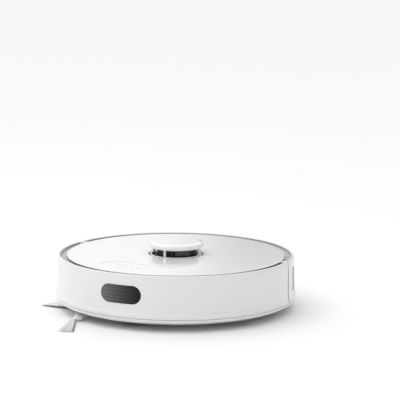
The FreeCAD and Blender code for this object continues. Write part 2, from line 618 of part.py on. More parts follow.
def build_side_brush():
    """Three sloping arms on a hub, each with a fan of soft bristles that reaches the floor."""
    centre = (value("hub_x"), value("hub_y"))
    hub = join(rod("hub_radius", "hub_low", "hub_top", ("hub_x", "hub_y")),
               rod("side_shaft", "hub_top-1", "side_shaft_top", ("hub_x", "hub_y")))
    arms = []
    tufts = []
    slope = Rotation(Vector(0, 1, 0), value("arm_slope"))
    for index in range(3):
        spin = Rotation(Vector(0, 0, 1), value("tuft_angle") + 120 * index)
        arm = doc.addObject("Part::Box", "Arm")
        bind(arm, "Length", "side_arm_long-hub_radius+4")
        bind(arm, "Width", "side_arm_wide")
        bind(arm, "Height", "side_arm_thick")
        turn = spin.multiply(slope)
        offset = spin.multVec(Vector(value("hub_radius-4"), -value("side_arm_wide") / 2, 0))
        arm.Placement = Placement(Vector(centre[0], centre[1], value("hub_low+1.8")) + offset, turn)
        arms.append(arm)
        tufts.append(build_tuft(centre, spin))
    node("side_brush", join(hub, *arms))
    node("side_brush_bristles", group(*tufts))
    motor = cut(rod("side_motor_radius", "floor_top", "side_motor_top", ("hub_x", "hub_y")),
                rod("side_shaft+running_gap", "0", "side_shaft_top+1", ("hub_x", "hub_y")))
    node("side_brush_motor", motor)


def build_tuft(centre, spin):
    """One spread tuft as a flat wedge from the arm's end down to the floor."""
    start = value("side_arm_long") + 0.2
    reach = value("side_reach")
    narrow = value("side_arm_wide") / 2
    wide = value("tuft_wide") / 2
    near = [Vector(start, -narrow, 3.2), Vector(start, narrow, 3.2), Vector(start, narrow, 5.6),
            Vector(start, -narrow, 5.6)]
    far = [Vector(reach, -wide, 0.4), Vector(reach, wide, 0.4), Vector(reach, wide, 1.4),
           Vector(reach, -wide, 1.4)]
    loft = Part.makeLoft([Part.makePolygon(near + near[:1]), Part.makePolygon(far + far[:1])], True, True)
    item = doc.addObject("Part::Feature", "Tuft")
    item.Shape = loft
    item.Placement = Placement(Vector(centre[0], centre[1], 0), spin)
    return item


# --- dust box and fan --------------------------------------------------------------

def face_cylinder():
    return rod("face_radius", "0", "span", ("0", "0"))


def build_dust_box():
    shell = common(box("-box_half", "box_half", "box_front", "span/2", "box_low", "box_high-lid_thick"),
                   face_cylinder())
    inside = box("-box_half+box_wall", "box_half-box_wall", "box_front+box_wall", "flap_plane-16",
                 "box_low+box_wall", "span")
    inlet = box("-duct_half+duct_wall", "duct_half-duct_wall", "box_front-1", "box_front+box_wall+1",
                "duct_low+box_wall+1", "duct_high-duct_wall")
    side_window = box("box_half-box_wall-1", "box_half+1", "filter_front", "filter_rear", "filter_low",
                      "filter_high")
    port = box("-port_half", "port_half", "flap_plane-20", "span", "port_low", "port_high")
    latch_bay = box("-latch_half-flap_gap", "latch_half+flap_gap", "latch_front-3", "span",
                    "latch_low-flap_gap", "latch_high+flap_gap")
    hinge = rod("flap_thick/2+running_gap", "-port_half-2", "port_half+2",
                ("flap_plane-flap_thick/2", "port_high-hinge_drop"), "X")
    node("dust_box", cut(shell, inside, inlet, side_window, port, latch_bay, hinge))
    node("dust_box_lid", common(box("-box_half", "box_half", "box_front", "span/2", "box_high-lid_thick",
                                    "box_high"), face_cylinder()))
    frame = box("box_half-filter_thick", "box_half-0.4", "filter_front+0.3", "filter_rear-0.3",
                "filter_low+0.3", "filter_high-0.3")
    pleats = [box("box_half-filter_thick-1", "box_half-filter_thick+pleat_deep",
                  f"filter_front+pleat_edge+pleat_pitch*{step}",
                  f"filter_front+pleat_edge+pleat_pitch*({step}+0.5)", "filter_low+pleat_edge",
                  "filter_high-pleat_edge")
              for step in range(PLEAT_COUNT)]
    node("dust_filter", cut(frame, *pleats))
    latch = common(box("-latch_half", "latch_half", "latch_front", "span", "latch_low", "latch_high"),
                   rod("face_radius-latch_inset", "0", "span", ("0", "0")))
    node("dust_box_latch", latch)
    leaf = box("-port_half+flap_gap", "port_half-flap_gap", "flap_plane-flap_thick", "flap_plane",
               "port_low+flap_gap", "port_high-hinge_drop")
    barrel = rod("flap_thick/2", "-port_half-1.7", "port_half+1.7",
                 ("flap_plane-flap_thick/2", "port_high-hinge_drop"), "X")
    node("evac_flap", join(leaf, barrel))


def build_fan():
    middle = ("fan_y", "fan_z")
    drum = cut(rod("fan_radius", "fan_left", "fan_right", middle, "X"),
               rod("fan_radius-fan_wall", "fan_left+fan_wall", "fan_right-fan_wall", middle, "X"),
               rod("inlet_radius", "fan_left-1", "fan_left+fan_wall+1", middle, "X"),
               rod("shaft_radius+1", "fan_right-fan_wall-1", "fan_right+1", middle, "X"),
               box("fan_left+fan_wall+2", "fan_right-fan_wall-2", "fan_y", "fan_y+fan_radius+1", "fan_z+8",
                   "fan_z+16"))
    node("fan_housing", drum)
    left = "fan_left+fan_wall+impeller_gap"
    right = "fan_right-fan_wall-impeller_gap"
    plate = rod("impeller_radius", f"{right}-1.6", right, middle, "X")
    hub = join(rod("shaft_radius+3", left, right, middle, "X"),
               rod("shaft_radius", right, "fan_motor_end-10", middle, "X"))
    blades = []
    for index in range(BLADE_COUNT):
        blade = doc.addObject("Part::Box", "Blade")
        bind(blade, "Length", f"({right})-({left})-1")
        bind(blade, "Width", "blade_thick")
        bind(blade, "Height", "impeller_radius-shaft_radius-2")
        spin = Rotation(Vector(1, 0, 0), index * 360.0 / BLADE_COUNT)
        start = spin.multVec(Vector(0, -value("blade_thick") / 2, value("shaft_radius") + 2))
        blade.Placement = Placement(Vector(value(left), value("fan_y"), value("fan_z")) + start, spin)
        blades.append(blade)
    node("fan_impeller", join(plate, hub, *blades))
    motor = cut(rod("fan_motor_radius", "fan_right", "fan_motor_end", middle, "X"),
                rod("shaft_radius+running_gap", "fan_right-1", "fan_motor_end-8", middle, "X"))
    node("fan_motor", motor)


# --- laser turret ------------------------------------------------------------------

def build_turret():
    ring = spun([("turret_inner", "deck_top"), ("turret_radius+1.8", "deck_top"),
                 ("turret_radius+1.8", "deck_top+1.5"), ("turret_radius", "deck_top+1.5"),
                 ("turret_radius", "turret_ring_top"), ("turret_inner", "turret_ring_top")])
    posts = []
    for turn in POST_TURNS:
        post = doc.addObject("Part::Box", "Post")
        bind(post, "Length", "post_width")
        bind(post, "Width", "post_depth")
        bind(post, "Height", "slot_top-turret_ring_top+1")
        spin = Rotation(Vector(0, 0, 1), turn)
        start = Vector(-value("post_width") / 2, -value("turret_radius") + 0.1, value("turret_ring_top") - 1)
        post.Placement = Placement(spin.multVec(start), spin)
        posts.append(post)
    node("turret_cage", join(ring, *posts))
    cap = spun([("0", "cap_top-cap_wall"), ("cap_radius-6.5", "cap_top-cap_wall"),
                ("turret_inner", "slot_top+2.4"), ("turret_inner", "slot_top"),
                ("cap_radius-1.2", "slot_top"), ("cap_radius", "slot_top+2.2"),
                ("cap_radius", "cap_top"), ("0", "cap_top")])
    node("turret_cap", rounded(cap, "cap_edge", circle_at("cap_radius", "cap_top")))


def build_lidar():
    body = spun([("0", "rotor_low"), ("rotor_radius", "rotor_low"), ("rotor_radius", "rotor_top"),
                 ("0", "rotor_top")])
    flat = box("-span/2", "span/2", "-span/2", "-rotor_flat", "rotor_low+5.6", "rotor_top-0.8")
    eyes = [rod("lens_radius", "-rotor_radius", "-rotor_flat+2",
                (f"{side}lens_apart", "rotor_low+eye_above"), "Y") for side in ("-", "")]
    head = cut(body, flat, *eyes)
    glasses = group(*[rod("lens_radius", "-rotor_flat-0.6", "-rotor_flat+2",
                          (f"{side}lens_apart", "rotor_low+eye_above"), "Y") for side in ("-", "")])
    pulley = spun([("0", "bearing_low+0.5"), ("rotor_hub", "bearing_low+0.5"), ("rotor_hub", "pulley_low"),
                   ("rotor_pulley", "pulley_low"), ("rotor_pulley", "belt_low-0.2"),
                   ("rotor_pulley-1", "belt_low"), ("rotor_pulley-1", "belt_high"),
                   ("rotor_pulley", "belt_high+0.2"), ("rotor_pulley", "pulley_high"),
                   ("rotor_hub", "pulley_high"), ("rotor_hub", "rotor_low"), ("0", "rotor_low")])
    doc.recompute()
    node("lidar_rotor", join(turned(head, HEAD_TURN), pulley))
    node("lidar_lenses", turned(glasses, HEAD_TURN))
    ring = cut(rod("bearing_radius", "bearing_low", "well_low+well_wall", ("0", "0")),
               rod("rotor_hub+running_gap", "0", "span", ("0", "0")))
    node("lidar_bearing", ring)
    motor = rod("lidar_motor_radius", "lidar_motor_low", "well_low", ("0", "lidar_motor_y"))
    node("lidar_motor", cut(motor, rod("1.05", "well_low-8", "span", ("0", "lidar_motor_y"))))
    small = join(rod("motor_pulley-0.6", "belt_low-0.6", "belt_high+0.6", ("0", "lidar_motor_y")),
                 rod("1", "well_low-7", "belt_low", ("0", "lidar_motor_y")))
    node("lidar_motor_pulley", small)
    build_belt()


def belt_loop(extra, low, high):
    """The outline round both pulleys, widened by a margin, as a solid."""
    big = value("rotor_pulley-1+running_gap") + extra
    small = value("motor_pulley-0.6+running_gap") + extra
    apart = value("lidar_motor_y")
    lean = math.asin((big - small) / apart)
    side = Vector(math.cos(lean), math.sin(lean), 0)
    start, end = side * big, Vector(0, apart, 0) + side * small

    def mirror(point):
        return Vector(-point.x, point.y, 0)

    edges = [Part.LineSegment(start, end).toShape(),
             Part.Arc(end, Vector(0, apart + small, 0), mirror(end)).toShape(),
             Part.LineSegment(mirror(end), mirror(start)).toShape(),
             Part.Arc(mirror(start), Vector(0, -big, 0), start).toShape()]
    face = Part.Face(Part.Wire(edges))
    face.translate(Vector(0, 0, value(low)))
    return face.extrude(Vector(0, 0, value(high) - value(low)))


def build_belt():
    belt = doc.addObject("Part::Feature", "Belt")
    inside = belt_loop(0, "belt_low-1", "belt_high+1")
    belt.Shape = belt_loop(value("belt_thick"), "belt_low", "belt_high").cut(inside)
    node("lidar_belt", belt)


# --- cover and controls ------------------------------------------------------------

def panel_recess():
    """The shallow bean-shaped dish that holds the controls."""
    inner = "panel_radius-panel_half"
    outer = "panel_radius+panel_half"
    sector = doc.addObject("Part::Cylinder", "Sector")
    bind(sector, "Radius", outer)
    bind(sector, "Height", "panel_depth+1")
    bind(sector, "Angle", "panel_sweep")
    start = Rotation(Vector(0, 0, 1), -90 - value("panel_sweep") / 2)
    place(sector, ("0", "0", "cover_top-panel_depth"), start)
    band = cut(sector, rod(inner, "0", "span", ("0", "0")))
    ends = [rod("panel_half", "cover_top-panel_depth", "cover_top+1",
                around("panel_radius", f"{side}panel_sweep/2")) for side in ("-", "")]
    return join(band, *ends)


def build_cover():
    disc = spun([("cover_hole", "cover_low"), ("skirt_inner", "cover_low"), ("skirt_inner", "deck_top"),
                 ("skirt_outer", "deck_top"), ("skirt_outer", "cover_low"), ("cover_radius", "cover_low"),
                 ("cover_radius", "cover_top"), ("cover_hole", "cover_top")])
    disc = rounded(disc, "cover_edge", circle_at("cover_radius", "cover_top"))
    holes = []
    for wide, deep, x, y in (("power_wide", "button_deep", "power_x", "power_y"),
                             ("home_wide", "button_deep", "home_x", "home_y")):
        holes.append(capsule(f"{wide}/2+button_gap", f"{deep}+2*button_gap", "cover_low-1", "cover_top+1",
                             (x, y)))
    holes.append(capsule("lamp_wide/2", "lamp_deep", "cover_low-1", "cover_top+1", ("lamp_x", "lamp_y")))
    node("top_cover", cut(disc, panel_recess(), *holes))
    node("indicator_lens", capsule("lamp_wide/2", "lamp_deep", "cover_low", "cover_top-panel_depth+0.1",
                                   ("lamp_x", "lamp_y")))


def build_buttons():
    for name in ("power", "home"):
        spot = (f"{name}_x", f"{name}_y")
        key = capsule(f"{name}_wide/2", "button_deep", "button_low", "button_top", spot)
        node(f"{name}_button", join(key, rod("button_stem", "stem_low", "button_low+1", spot)))


# --- electrics ---------------------------------------------------------------------

def build_electrics():
    face = "board_low+board_thick"
    board = box("-board_half", "board_half", "board_front", "board_rear", "board_low", face)
    chips = [box(x, f"{x}+{size}", y, f"{y}+{size}", face, f"{face}+chip_thick") for x, y, size in CHIPS]
    node("main_board", join(board, *chips))
    keys = box("-key_board_half", "key_board_half", "key_board_front", "key_board_rear", "key_low",
               "key_low+key_thick")
    domes = [rod("button_stem+0.8", "key_low+key_thick", "key_low+key_thick+key_height", spot)
             for spot in (("power_x", "power_y"), ("home_x", "home_y"))]
    node("button_board", join(keys, *domes))
    node("battery_pack", box("-battery_half", "battery_half", "battery_front", "battery_rear", "battery_low",
                             "battery_high"))
    node("battery_door", box("-door_half+door_gap", "door_half-door_gap", "door_front+door_gap",
                             "door_rear-door_gap", "floor_low", "battery_low-0.4"))
    node("speaker", join(rod("speaker_radius", "floor_top", "floor_top+6", ("speaker_x", "speaker_y")),
                         rod("speaker_radius-7", "floor_top+6", "speaker_top", ("speaker_x", "speaker_y"))))
    switches = []
    for side in (-1, 1):
        item = doc.addObject("Part::Box", "Switch")
        bind(item, "Length", "switch_long")
        bind(item, "Width", "switch_deep")
        bind(item, "Height", "switch_high")
        spin = Rotation(Vector(0, 0, 1), side * value("switch_angle"))
        start = Vector(-value("switch_long") / 2, -value("switch_radius") - value("switch_deep") / 2,
                       value("switch_low"))
        item.Placement = Placement(spin.multVec(start), spin)
        switches.append(item)
    node("bumper_switches", group(*switches))


def check(items):
    """Stop if any object failed to compute or any piece is not a sound solid."""
    for item in doc.Objects:
        if any(state in ("Invalid", "Error") for state in item.State):
            raise RuntimeError(f"{item.Name} ({item.Label}) did not compute: {item.State}")
    for item in items:
        shape = item.Shape
        if shape.isNull() or not shape.isValid() or not shape.Solids:
            raise RuntimeError(f"{item.Label} is not a valid solid")


build_base_chassis()
build_mid_deck()
build_bumper()
build_bumper_springs()
build_rear_shell()
for wheel_side in ("left", "right"):
    build_wheel(wheel_side)
build_caster()
build_main_brush()
build_brush_chamber()
build_brush_motor()
build_brush_guard()
build_side_brush()
build_dust_box()
build_fan()
build_turret()
build_lidar()
build_cover()
build_buttons()
build_electrics()
doc.recompute()
check(nodes)

os.makedirs(NODE_FOLDER, exist_ok=True)
for piece in nodes:
    piece.Shape.exportStep(os.path.join(NODE_FOLDER, piece.Label + ".step"))
    print(f"{piece.Label}: {len(piece.Shape.Solids)} solid(s), {piece.Shape.Volume / 1000:.2f} cm3")
print(len(nodes), "nodes")
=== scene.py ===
"""Detailed looks for a round robot vacuum, laid out as an add-on around its working frame.

Sizes are in metres in the frame's own axes: +Z up, the robot drives towards -Y.
"""

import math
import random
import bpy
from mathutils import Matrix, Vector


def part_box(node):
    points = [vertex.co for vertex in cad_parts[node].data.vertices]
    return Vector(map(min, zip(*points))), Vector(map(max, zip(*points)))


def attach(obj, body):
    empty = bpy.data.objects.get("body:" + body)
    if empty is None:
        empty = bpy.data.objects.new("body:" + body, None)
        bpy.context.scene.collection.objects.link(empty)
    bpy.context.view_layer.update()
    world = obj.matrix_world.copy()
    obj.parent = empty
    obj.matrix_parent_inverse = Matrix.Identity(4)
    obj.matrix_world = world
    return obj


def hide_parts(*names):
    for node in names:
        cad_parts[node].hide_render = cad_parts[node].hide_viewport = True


bl_info = {
    "name": "Robot Vacuum Looks",
    "version": (1, 0, 0),
    "blender": (4, 5, 0),
    "location": "View3D > Sidebar > Vacuum",
    "description": "Models the shells, controls, brushes and wheels of a round robot vacuum and finishes them",
    "category": "Object",
}

import bmesh
import bpy
from mathutils import Matrix, Vector

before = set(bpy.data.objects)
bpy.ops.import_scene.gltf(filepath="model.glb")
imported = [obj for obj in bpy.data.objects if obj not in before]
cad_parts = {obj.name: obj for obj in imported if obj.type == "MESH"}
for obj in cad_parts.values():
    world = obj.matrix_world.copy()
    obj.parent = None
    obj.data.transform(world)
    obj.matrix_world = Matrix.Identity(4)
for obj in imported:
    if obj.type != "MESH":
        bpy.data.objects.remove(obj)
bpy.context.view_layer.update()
MM = 0.001


def low(node):
    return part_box(node)[0]


def high(node):
    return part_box(node)[1]


def middle(node):
    return (low(node) + high(node)) / 2


def across_axis(node):
    """The Y and Z of the axis along X through a part's middle."""
    centre = middle(node)
    return centre.y, centre.z


BODY_RADIUS = high("bumper").x
LIP_LOW = low("bumper").z
RIM_TOP = high("bumper").z
SEAM_FRONT = high("bumper").y
SEAM_REAR = low("rear_shell").y
COVER_RADIUS = high("top_cover").x
COVER_TOP = high("top_cover").z
RING_TOP = high("bumper_trim_ring").z
DECK_TOP = low("top_cover").z
CAP_RADIUS = high("turret_cap").x
CAP_TOP = high("turret_cap").z
SLOT_TOP = low("turret_cap").z
CAGE_RADIUS = high("turret_cage").x - 1.8 * MM
FLOOR_LOW = low("base_chassis").z
SMOOTH = math.radians(35)
ROUND = 256  # steps round the body's large circles
RIB_DEPTH = 6 * MM
CONTACT_OFFSET = 41 * MM
CONTACT_HALF = Vector((4.5, 0, 6)) * MM
DISH_RADIUS = 119  # of the control dish's middle line, in millimetres
DISH_HALF = 21
DISH_DEPTH = 0.45
DISH_TURN = math.radians(20)
SYMBOL_LOW, SYMBOL_HIGH = -0.1 * MM, 0.12 * MM  # below and above the key's top
KEY_DEPTH = 12 * MM
DOOR_SCREW = 60 * MM
DRAWER_LOW, DRAWER_HIGH = 26.0, 67.8
RING_INSIDE = 154.0
BAR_HALF = 1.6 * MM
BRUSH_HALF = 79.5 * MM
GUARD_HALF = 83 * MM


# --- modelling helpers -------------------------------------------------------------

def deselect():
    if bpy.context.mode != "OBJECT":
        bpy.ops.object.mode_set(mode="OBJECT")
    bpy.ops.object.select_all(action="DESELECT")


def activate(obj):
    deselect()
    obj.select_set(True)
    bpy.context.view_layer.objects.active = obj


def edit(obj):
    activate(obj)
    bpy.ops.object.mode_set(mode="EDIT")
    bpy.ops.mesh.select_mode(type="VERT")
    bpy.ops.mesh.select_all(action="SELECT")


def added(name):
    obj = bpy.context.active_object
    obj.name = name
    obj.data.name = name
    return obj


def pick(kind, test):
    """Select what passes a test on its middle and itself in the mesh being edited."""
    bpy.ops.mesh.select_mode(type=kind)
    bpy.ops.mesh.select_all(action="DESELECT")
    mesh = bmesh.from_edit_mesh(bpy.context.edit_object.data)
    for item in {"VERT": mesh.verts, "EDGE": mesh.edges, "FACE": mesh.faces}[kind]:
        if kind == "VERT":
            centre = item.co
        else:
            centre = sum((vertex.co for vertex in item.verts), Vector()) / len(item.verts)
        if test(centre, item):
            item.select_set(True)
    mesh.select_flush_mode()
    bmesh.update_edit_mesh(bpy.context.edit_object.data)


def modify(obj, kind, **settings):
    activate(obj)
    bpy.ops.object.modifier_add(type=kind)
    modifier = obj.modifiers[-1]
    for key, setting in settings.items():
        setattr(modifier, key, setting)
    bpy.ops.object.modifier_apply(modifier=modifier.name)


def carve(obj, *cutters, operation="DIFFERENCE"):
    for cutter in cutters:
        modify(obj, "BOOLEAN", operation=operation, object=cutter, solver="EXACT")
        bpy.data.objects.remove(cutter)
    return obj


def ease(obj, width, segments=2, angle=35):
    """Round the sharp edges a little, as moulded and pressed parts have them."""
    modify(obj, "BEVEL", width=width, segments=segments, limit_method="ANGLE",
           angle_limit=math.radians(angle), use_clamp_overlap=False, harden_normals=False)
    return obj


def smooth(obj, angle=SMOOTH):
    """Shade smooth below an angle, with large faces kept flat by weighted normals."""
    activate(obj)
    bpy.ops.object.shade_smooth_by_angle(angle=angle)
    modify(obj, "WEIGHTED_NORMAL", keep_sharp=True, weight=50)
    return obj


def settle(obj):
    """Put an object's place into its mesh."""
    activate(obj)
    bpy.ops.object.transform_apply(location=True, rotation=True, scale=True)
    return obj


def combine(name, pieces):
    deselect()
    for piece in pieces:
        piece.select_set(True)
    bpy.context.view_layer.objects.active = pieces[0]
    bpy.ops.object.join()
    return added(name)


def close_mesh(obj, gap=1e-6):
    edit(obj)
    bpy.ops.mesh.remove_doubles(threshold=gap)
    bpy.ops.mesh.normals_make_consistent(inside=False)
    bpy.ops.object.mode_set(mode="OBJECT")
    return obj


def rounded_corners(corners, closed, steps=4):
    """Replace each corner (radius, height, rounding) by an arc of that rounding."""
    points = []
    count = len(corners)
    for index, (radius, height, rounding) in enumerate(corners):
        here = Vector((radius, height))
        ends = not closed and index in (0, count - 1)
        if rounding <= 0 or ends:
            points.append(here)
            continue
        before = Vector(corners[index - 1][:2]) - here
        after = Vector(corners[(index + 1) % count][:2]) - here
        half = before.angle(after) / 2
        reach = min(rounding / math.tan(half), before.length * 0.49, after.length * 0.49)
        start, end = here + before.normalized() * reach, here + after.normalized() * reach
        for step in range(steps + 1):
            share = step / steps
            points.append(start * (1 - share) ** 2 + here * 2 * share * (1 - share) + end * share ** 2)
    return points


def lathe(name, corners, segments=192, axis="Z", centre=(0, 0), closed=True):
    """Turn an outline of (radius, height, rounding) corners, in millimetres, about an axis.

    Across X the height runs along X and centre gives the axis's Y and Z in metres.
    """
    points = [point * MM for point in rounded_corners(corners, closed)]
    deselect()
    bpy.ops.mesh.primitive_plane_add(size=MM, location=(points[0].x, 0, points[0].y))
    obj = added(name)
    edit(settle(obj))
    bpy.ops.mesh.merge(type="CENTER")
    for here, after in zip(points, points[1:]):
        step = after - here
        bpy.ops.mesh.extrude_region_move(TRANSFORM_OT_translate={"value": (step.x, 0, step.y)})
    if closed:
        ends = (points[0], points[-1])
        pick("VERT", lambda centre, item: any((Vector((centre.x, centre.z)) - end).length < 1e-7 for end in ends))
        bpy.ops.mesh.edge_face_add()
    bpy.ops.mesh.select_all(action="SELECT")
    bpy.ops.mesh.spin(steps=segments, angle=math.tau, center=(0, 0, 0), axis=(0, 0, 1))
    close_mesh(obj)
    if axis == "X":
        activate(obj)
        obj.rotation_euler = (0, math.pi / 2, 0)
        obj.location = (0, centre[0], centre[1])
        settle(obj)
    elif any(centre):
        obj.location = (centre[0], centre[1], 0)
        settle(obj)
    return obj


def slice_off(obj, point, normal):
    """Cut a mesh by a plane, keep the side against the normal and close the cut."""
    edit(obj)
    bpy.ops.mesh.bisect(plane_co=point, plane_no=normal, use_fill=True, clear_outer=True)
    bpy.ops.object.mode_set(mode="OBJECT")
    return obj


def block(name, start, end):
    """A plain block between two corners, to be cut with or shaped further."""
    deselect()
    start, end = Vector(start), Vector(end)
    bpy.ops.mesh.primitive_cube_add(size=1, location=(start + end) / 2)
    obj = added(name)
    obj.scale = end - start
    return settle(obj)


def pill(name, half, depth, start, end, centre, axis="Z", segments=20):
    """A plate with two round ends, long along X, from start to end along its axis."""
    deselect()
    bpy.ops.mesh.primitive_plane_add(size=1)
    obj = added(name)
    obj.scale = (half * 2, depth, 1)
    edit(settle(obj))
    bpy.ops.mesh.bevel(offset=depth / 2 * 0.9995, segments=segments, affect="VERTICES", clamp_overlap=True)
    bpy.ops.mesh.select_all(action="SELECT")
    bpy.ops.mesh.remove_doubles(threshold=1e-6)
    bpy.ops.mesh.select_all(action="SELECT")
    bpy.ops.mesh.extrude_region_move(TRANSFORM_OT_translate={"value": (0, 0, end - start)})
    bpy.ops.object.mode_set(mode="OBJECT")
    if axis == "Y":
        obj.rotation_euler = (-math.pi / 2, 0, 0)
        obj.location = (centre[0], start, centre[1])
    else:
        obj.location = (centre[0], centre[1], start)
    settle(obj)
    return close_mesh(obj)


def softened(node, width=0.3 * MM, name=None, angle=35):
    """A copy of a frame part with its facets merged and its edges eased; it stands for that part."""
    obj = bpy.data.objects.new(name or node + "_moulding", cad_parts[node].data.copy())
    bpy.context.scene.collection.objects.link(obj)
    edit(obj)
    bpy.ops.mesh.remove_doubles(threshold=2e-6)
    bpy.ops.mesh.dissolve_limited(angle_limit=math.radians(0.5))
    bpy.ops.object.mode_set(mode="OBJECT")
    if width:
        ease(obj, width, angle=angle)
    return smooth(obj)


def copies(master, name, places):
    """Copy a master shape to each matrix, every copy with its own mesh, as one piece."""
    pieces = []
    for place in places:
        piece = bpy.data.objects.new(name, master.data.copy())
        bpy.context.scene.collection.objects.link(piece)
        piece.data.transform(place)
        pieces.append(piece)
    bpy.data.objects.remove(master)
    return combine(name, pieces)


def mount(obj, body, finish, *nodes, slot=None):
    """Give a piece its finish, its body and the frame parts it stands for."""
    obj.data.materials.clear()
    obj.data.materials.append(finish_named(finish))
    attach(obj, body)
    if nodes:
        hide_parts(*nodes)
    return obj


# --- finishes ----------------------------------------------------------------------

def new_group(name, inputs, outputs):
    tree = bpy.data.node_groups.new(name, "ShaderNodeTree")
    kinds = {"v": "NodeSocketVector", "c": "NodeSocketColor", "f": "NodeSocketFloat"}
    for label, kind in inputs:
        tree.interface.new_socket(name=label, in_out="INPUT", socket_type=kinds[kind])
    for label, kind in outputs:
        tree.interface.new_socket(name=label, in_out="OUTPUT", socket_type=kinds[kind])
    return tree, tree.nodes.new("NodeGroupInput"), tree.nodes.new("NodeGroupOutput")


def math_node(tree, operation, first, second, clamp=False):
    item = tree.nodes.new("ShaderNodeMath")
    item.operation = operation
    item.use_clamp = clamp
    for socket, source in zip(item.inputs, (first, second)):
        if isinstance(source, (int, float)):
            socket.default_value = source
        else:
            tree.links.new(source, socket)
    return item.outputs[0]


def noise_node(tree, vector, scale, detail=3.0, ratio=1.0):
    item = tree.nodes.new("ShaderNodeTexNoise")
    item.inputs["Detail"].default_value = detail
    tree.links.new(vector, item.inputs["Vector"])
    tree.links.new(math_node(tree, "MULTIPLY", scale, ratio), item.inputs["Scale"])
    return item.outputs["Fac"]


def shade_by(tree, colour, mask, amount):
    """Lighten and darken a colour around itself by a mask."""
    item = tree.nodes.new("ShaderNodeHueSaturation")
    swing = math_node(tree, "MULTIPLY", math_node(tree, "SUBTRACT", mask, 0.5), amount)
    tree.links.new(colour, item.inputs["Color"])
    tree.links.new(math_node(tree, "ADD", swing, 1.0), item.inputs["Value"])
    return item.outputs["Color"]


def spread_by(tree, base, mask, amount):
    swing = math_node(tree, "MULTIPLY", math_node(tree, "SUBTRACT", mask, 0.5), amount)
    return math_node(tree, "ADD", base, swing, clamp=True)


def give_surface(tree, given, result, colour, shade, gloss, height):
    """Shade a colour and a roughness by their masks and hand them out of a group with its height."""
    tree.links.new(shade_by(tree, colour, shade, given.outputs["Variation"]), result.inputs["Color"])
    tree.links.new(spread_by(tree, given.outputs["Roughness"], gloss, given.outputs["Spread"]),
                   result.inputs["Roughness"])
    tree.links.new(height, result.inputs["Height"])
    return tree


COMMON = [("Vector", "v"), ("Color", "c"), ("Scale", "f"), ("Variation", "f"), ("Roughness", "f"),
          ("Spread", "f")]
RESULTS = [("Color", "c"), ("Roughness", "f"), ("Height", "f")]


def moulded_group():
    """Fine spark-eroded grain with slow, faint changes of shade and gloss."""
    tree, given, result = new_group("Moulded Surface", COMMON, RESULTS)
    grain = noise_node(tree, given.outputs["Vector"], given.outputs["Scale"], 5.0)
    slow = noise_node(tree, given.outputs["Vector"], given.outputs["Scale"], 3.0, 0.012)
    smear = noise_node(tree, given.outputs["Vector"], given.outputs["Scale"], 4.0, 0.05)
    return give_surface(tree, given, result, given.outputs["Color"], slow, smear, grain)


def brushed_group():
    """Long fine scratches along X, as drawn and brushed metal has."""
    tree, given, result = new_group("Brushed Surface", COMMON, RESULTS)
    stretch = tree.nodes.new("ShaderNodeVectorMath")
    stretch.operation = "MULTIPLY"
    stretch.inputs[1].default_value = (0.06, 1.0, 1.0)
    tree.links.new(given.outputs["Vector"], stretch.inputs[0])
    lines = noise_node(tree, stretch.outputs[0], given.outputs["Scale"], 6.0)
    slow = noise_node(tree, given.outputs["Vector"], given.outputs["Scale"], 2.0, 0.03)
    return give_surface(tree, given, result, given.outputs["Color"], lines, slow, lines)


def fibre_group():
    """Streaky strands: fast changes of shade from one bristle to the next."""
    tree, given, result = new_group("Fibre Strands", COMMON, RESULTS)
    cells = tree.nodes.new("ShaderNodeTexVoronoi")
    tree.links.new(given.outputs["Vector"], cells.inputs["Vector"])
    tree.links.new(given.outputs["Scale"], cells.inputs["Scale"])
    strand = cells.outputs["Distance"]
    fine = noise_node(tree, given.outputs["Vector"], given.outputs["Scale"], 3.0, 2.3)
    mixed = math_node(tree, "MULTIPLY", math_node(tree, "ADD", strand, fine), 0.6)
    return give_surface(tree, given, result, given.outputs["Color"], mixed, fine, fine)


def louvre_group():
    """Smoked plastic over faint level ribs, with a painted reflection: paler towards -X."""
    tree, given, result = new_group("Louvred Smoke", COMMON, RESULTS)
    split = tree.nodes.new("ShaderNodeSeparateXYZ")
    tree.links.new(given.outputs["Vector"], split.inputs[0])
    # painted reflection: the smoke is mixed towards a paler grey from +X to -X, standing for the floor mirrored in
    # the window
    reflection_fade = tree.nodes.new("ShaderNodeMapRange")
    reflection_fade.inputs["From Min"].default_value = 0.030
    reflection_fade.inputs["From Max"].default_value = -0.032
    tree.links.new(split.outputs["X"], reflection_fade.inputs["Value"])
    turns = math_node(tree, "MULTIPLY", split.outputs["Z"], given.outputs["Scale"])
    ribs = math_node(tree, "ADD", math_node(tree, "MULTIPLY", math_node(tree, "SINE", turns, 0.0), 0.14), 1.0)
    body = math_node(tree, "MULTIPLY", math_node(tree, "POWER", reflection_fade.outputs["Result"], 1.5), ribs, clamp=True)
    # the paler grey of the painted reflection
    reflection_tint = tree.nodes.new("ShaderNodeMix")
    reflection_tint.data_type = "RGBA"
    reflection_tint.inputs["B"].default_value = (0.17, 0.17, 0.175, 1)
    tree.links.new(body, reflection_tint.inputs["Factor"])
    tree.links.new(given.outputs["Color"], reflection_tint.inputs["A"])
    grain = noise_node(tree, given.outputs["Vector"], given.outputs["Scale"], 2.0)
    return give_surface(tree, given, result, reflection_tint.outputs["Result"], grain, grain, grain)


def circuit_group():
    """Copper tracks and pads that show as a paler pattern through solder mask."""
    tree, given, result = new_group("Circuit Tracks", COMMON, RESULTS)
    bricks = tree.nodes.new("ShaderNodeTexBrick")
    bricks.inputs["Mortar Size"].default_value = 0.06
    bricks.inputs["Color1"].default_value = (0.45, 0.45, 0.45, 1)
    bricks.inputs["Color2"].default_value = (0.6, 0.6, 0.6, 1)
    bricks.inputs["Mortar"].default_value = (1, 1, 1, 1)
    tree.links.new(given.outputs["Vector"], bricks.inputs["Vector"])
    tree.links.new(given.outputs["Scale"], bricks.inputs["Scale"])
    tracks = bricks.outputs["Color"]
    return give_surface(tree, given, result, given.outputs["Color"], tracks, tracks, tracks)


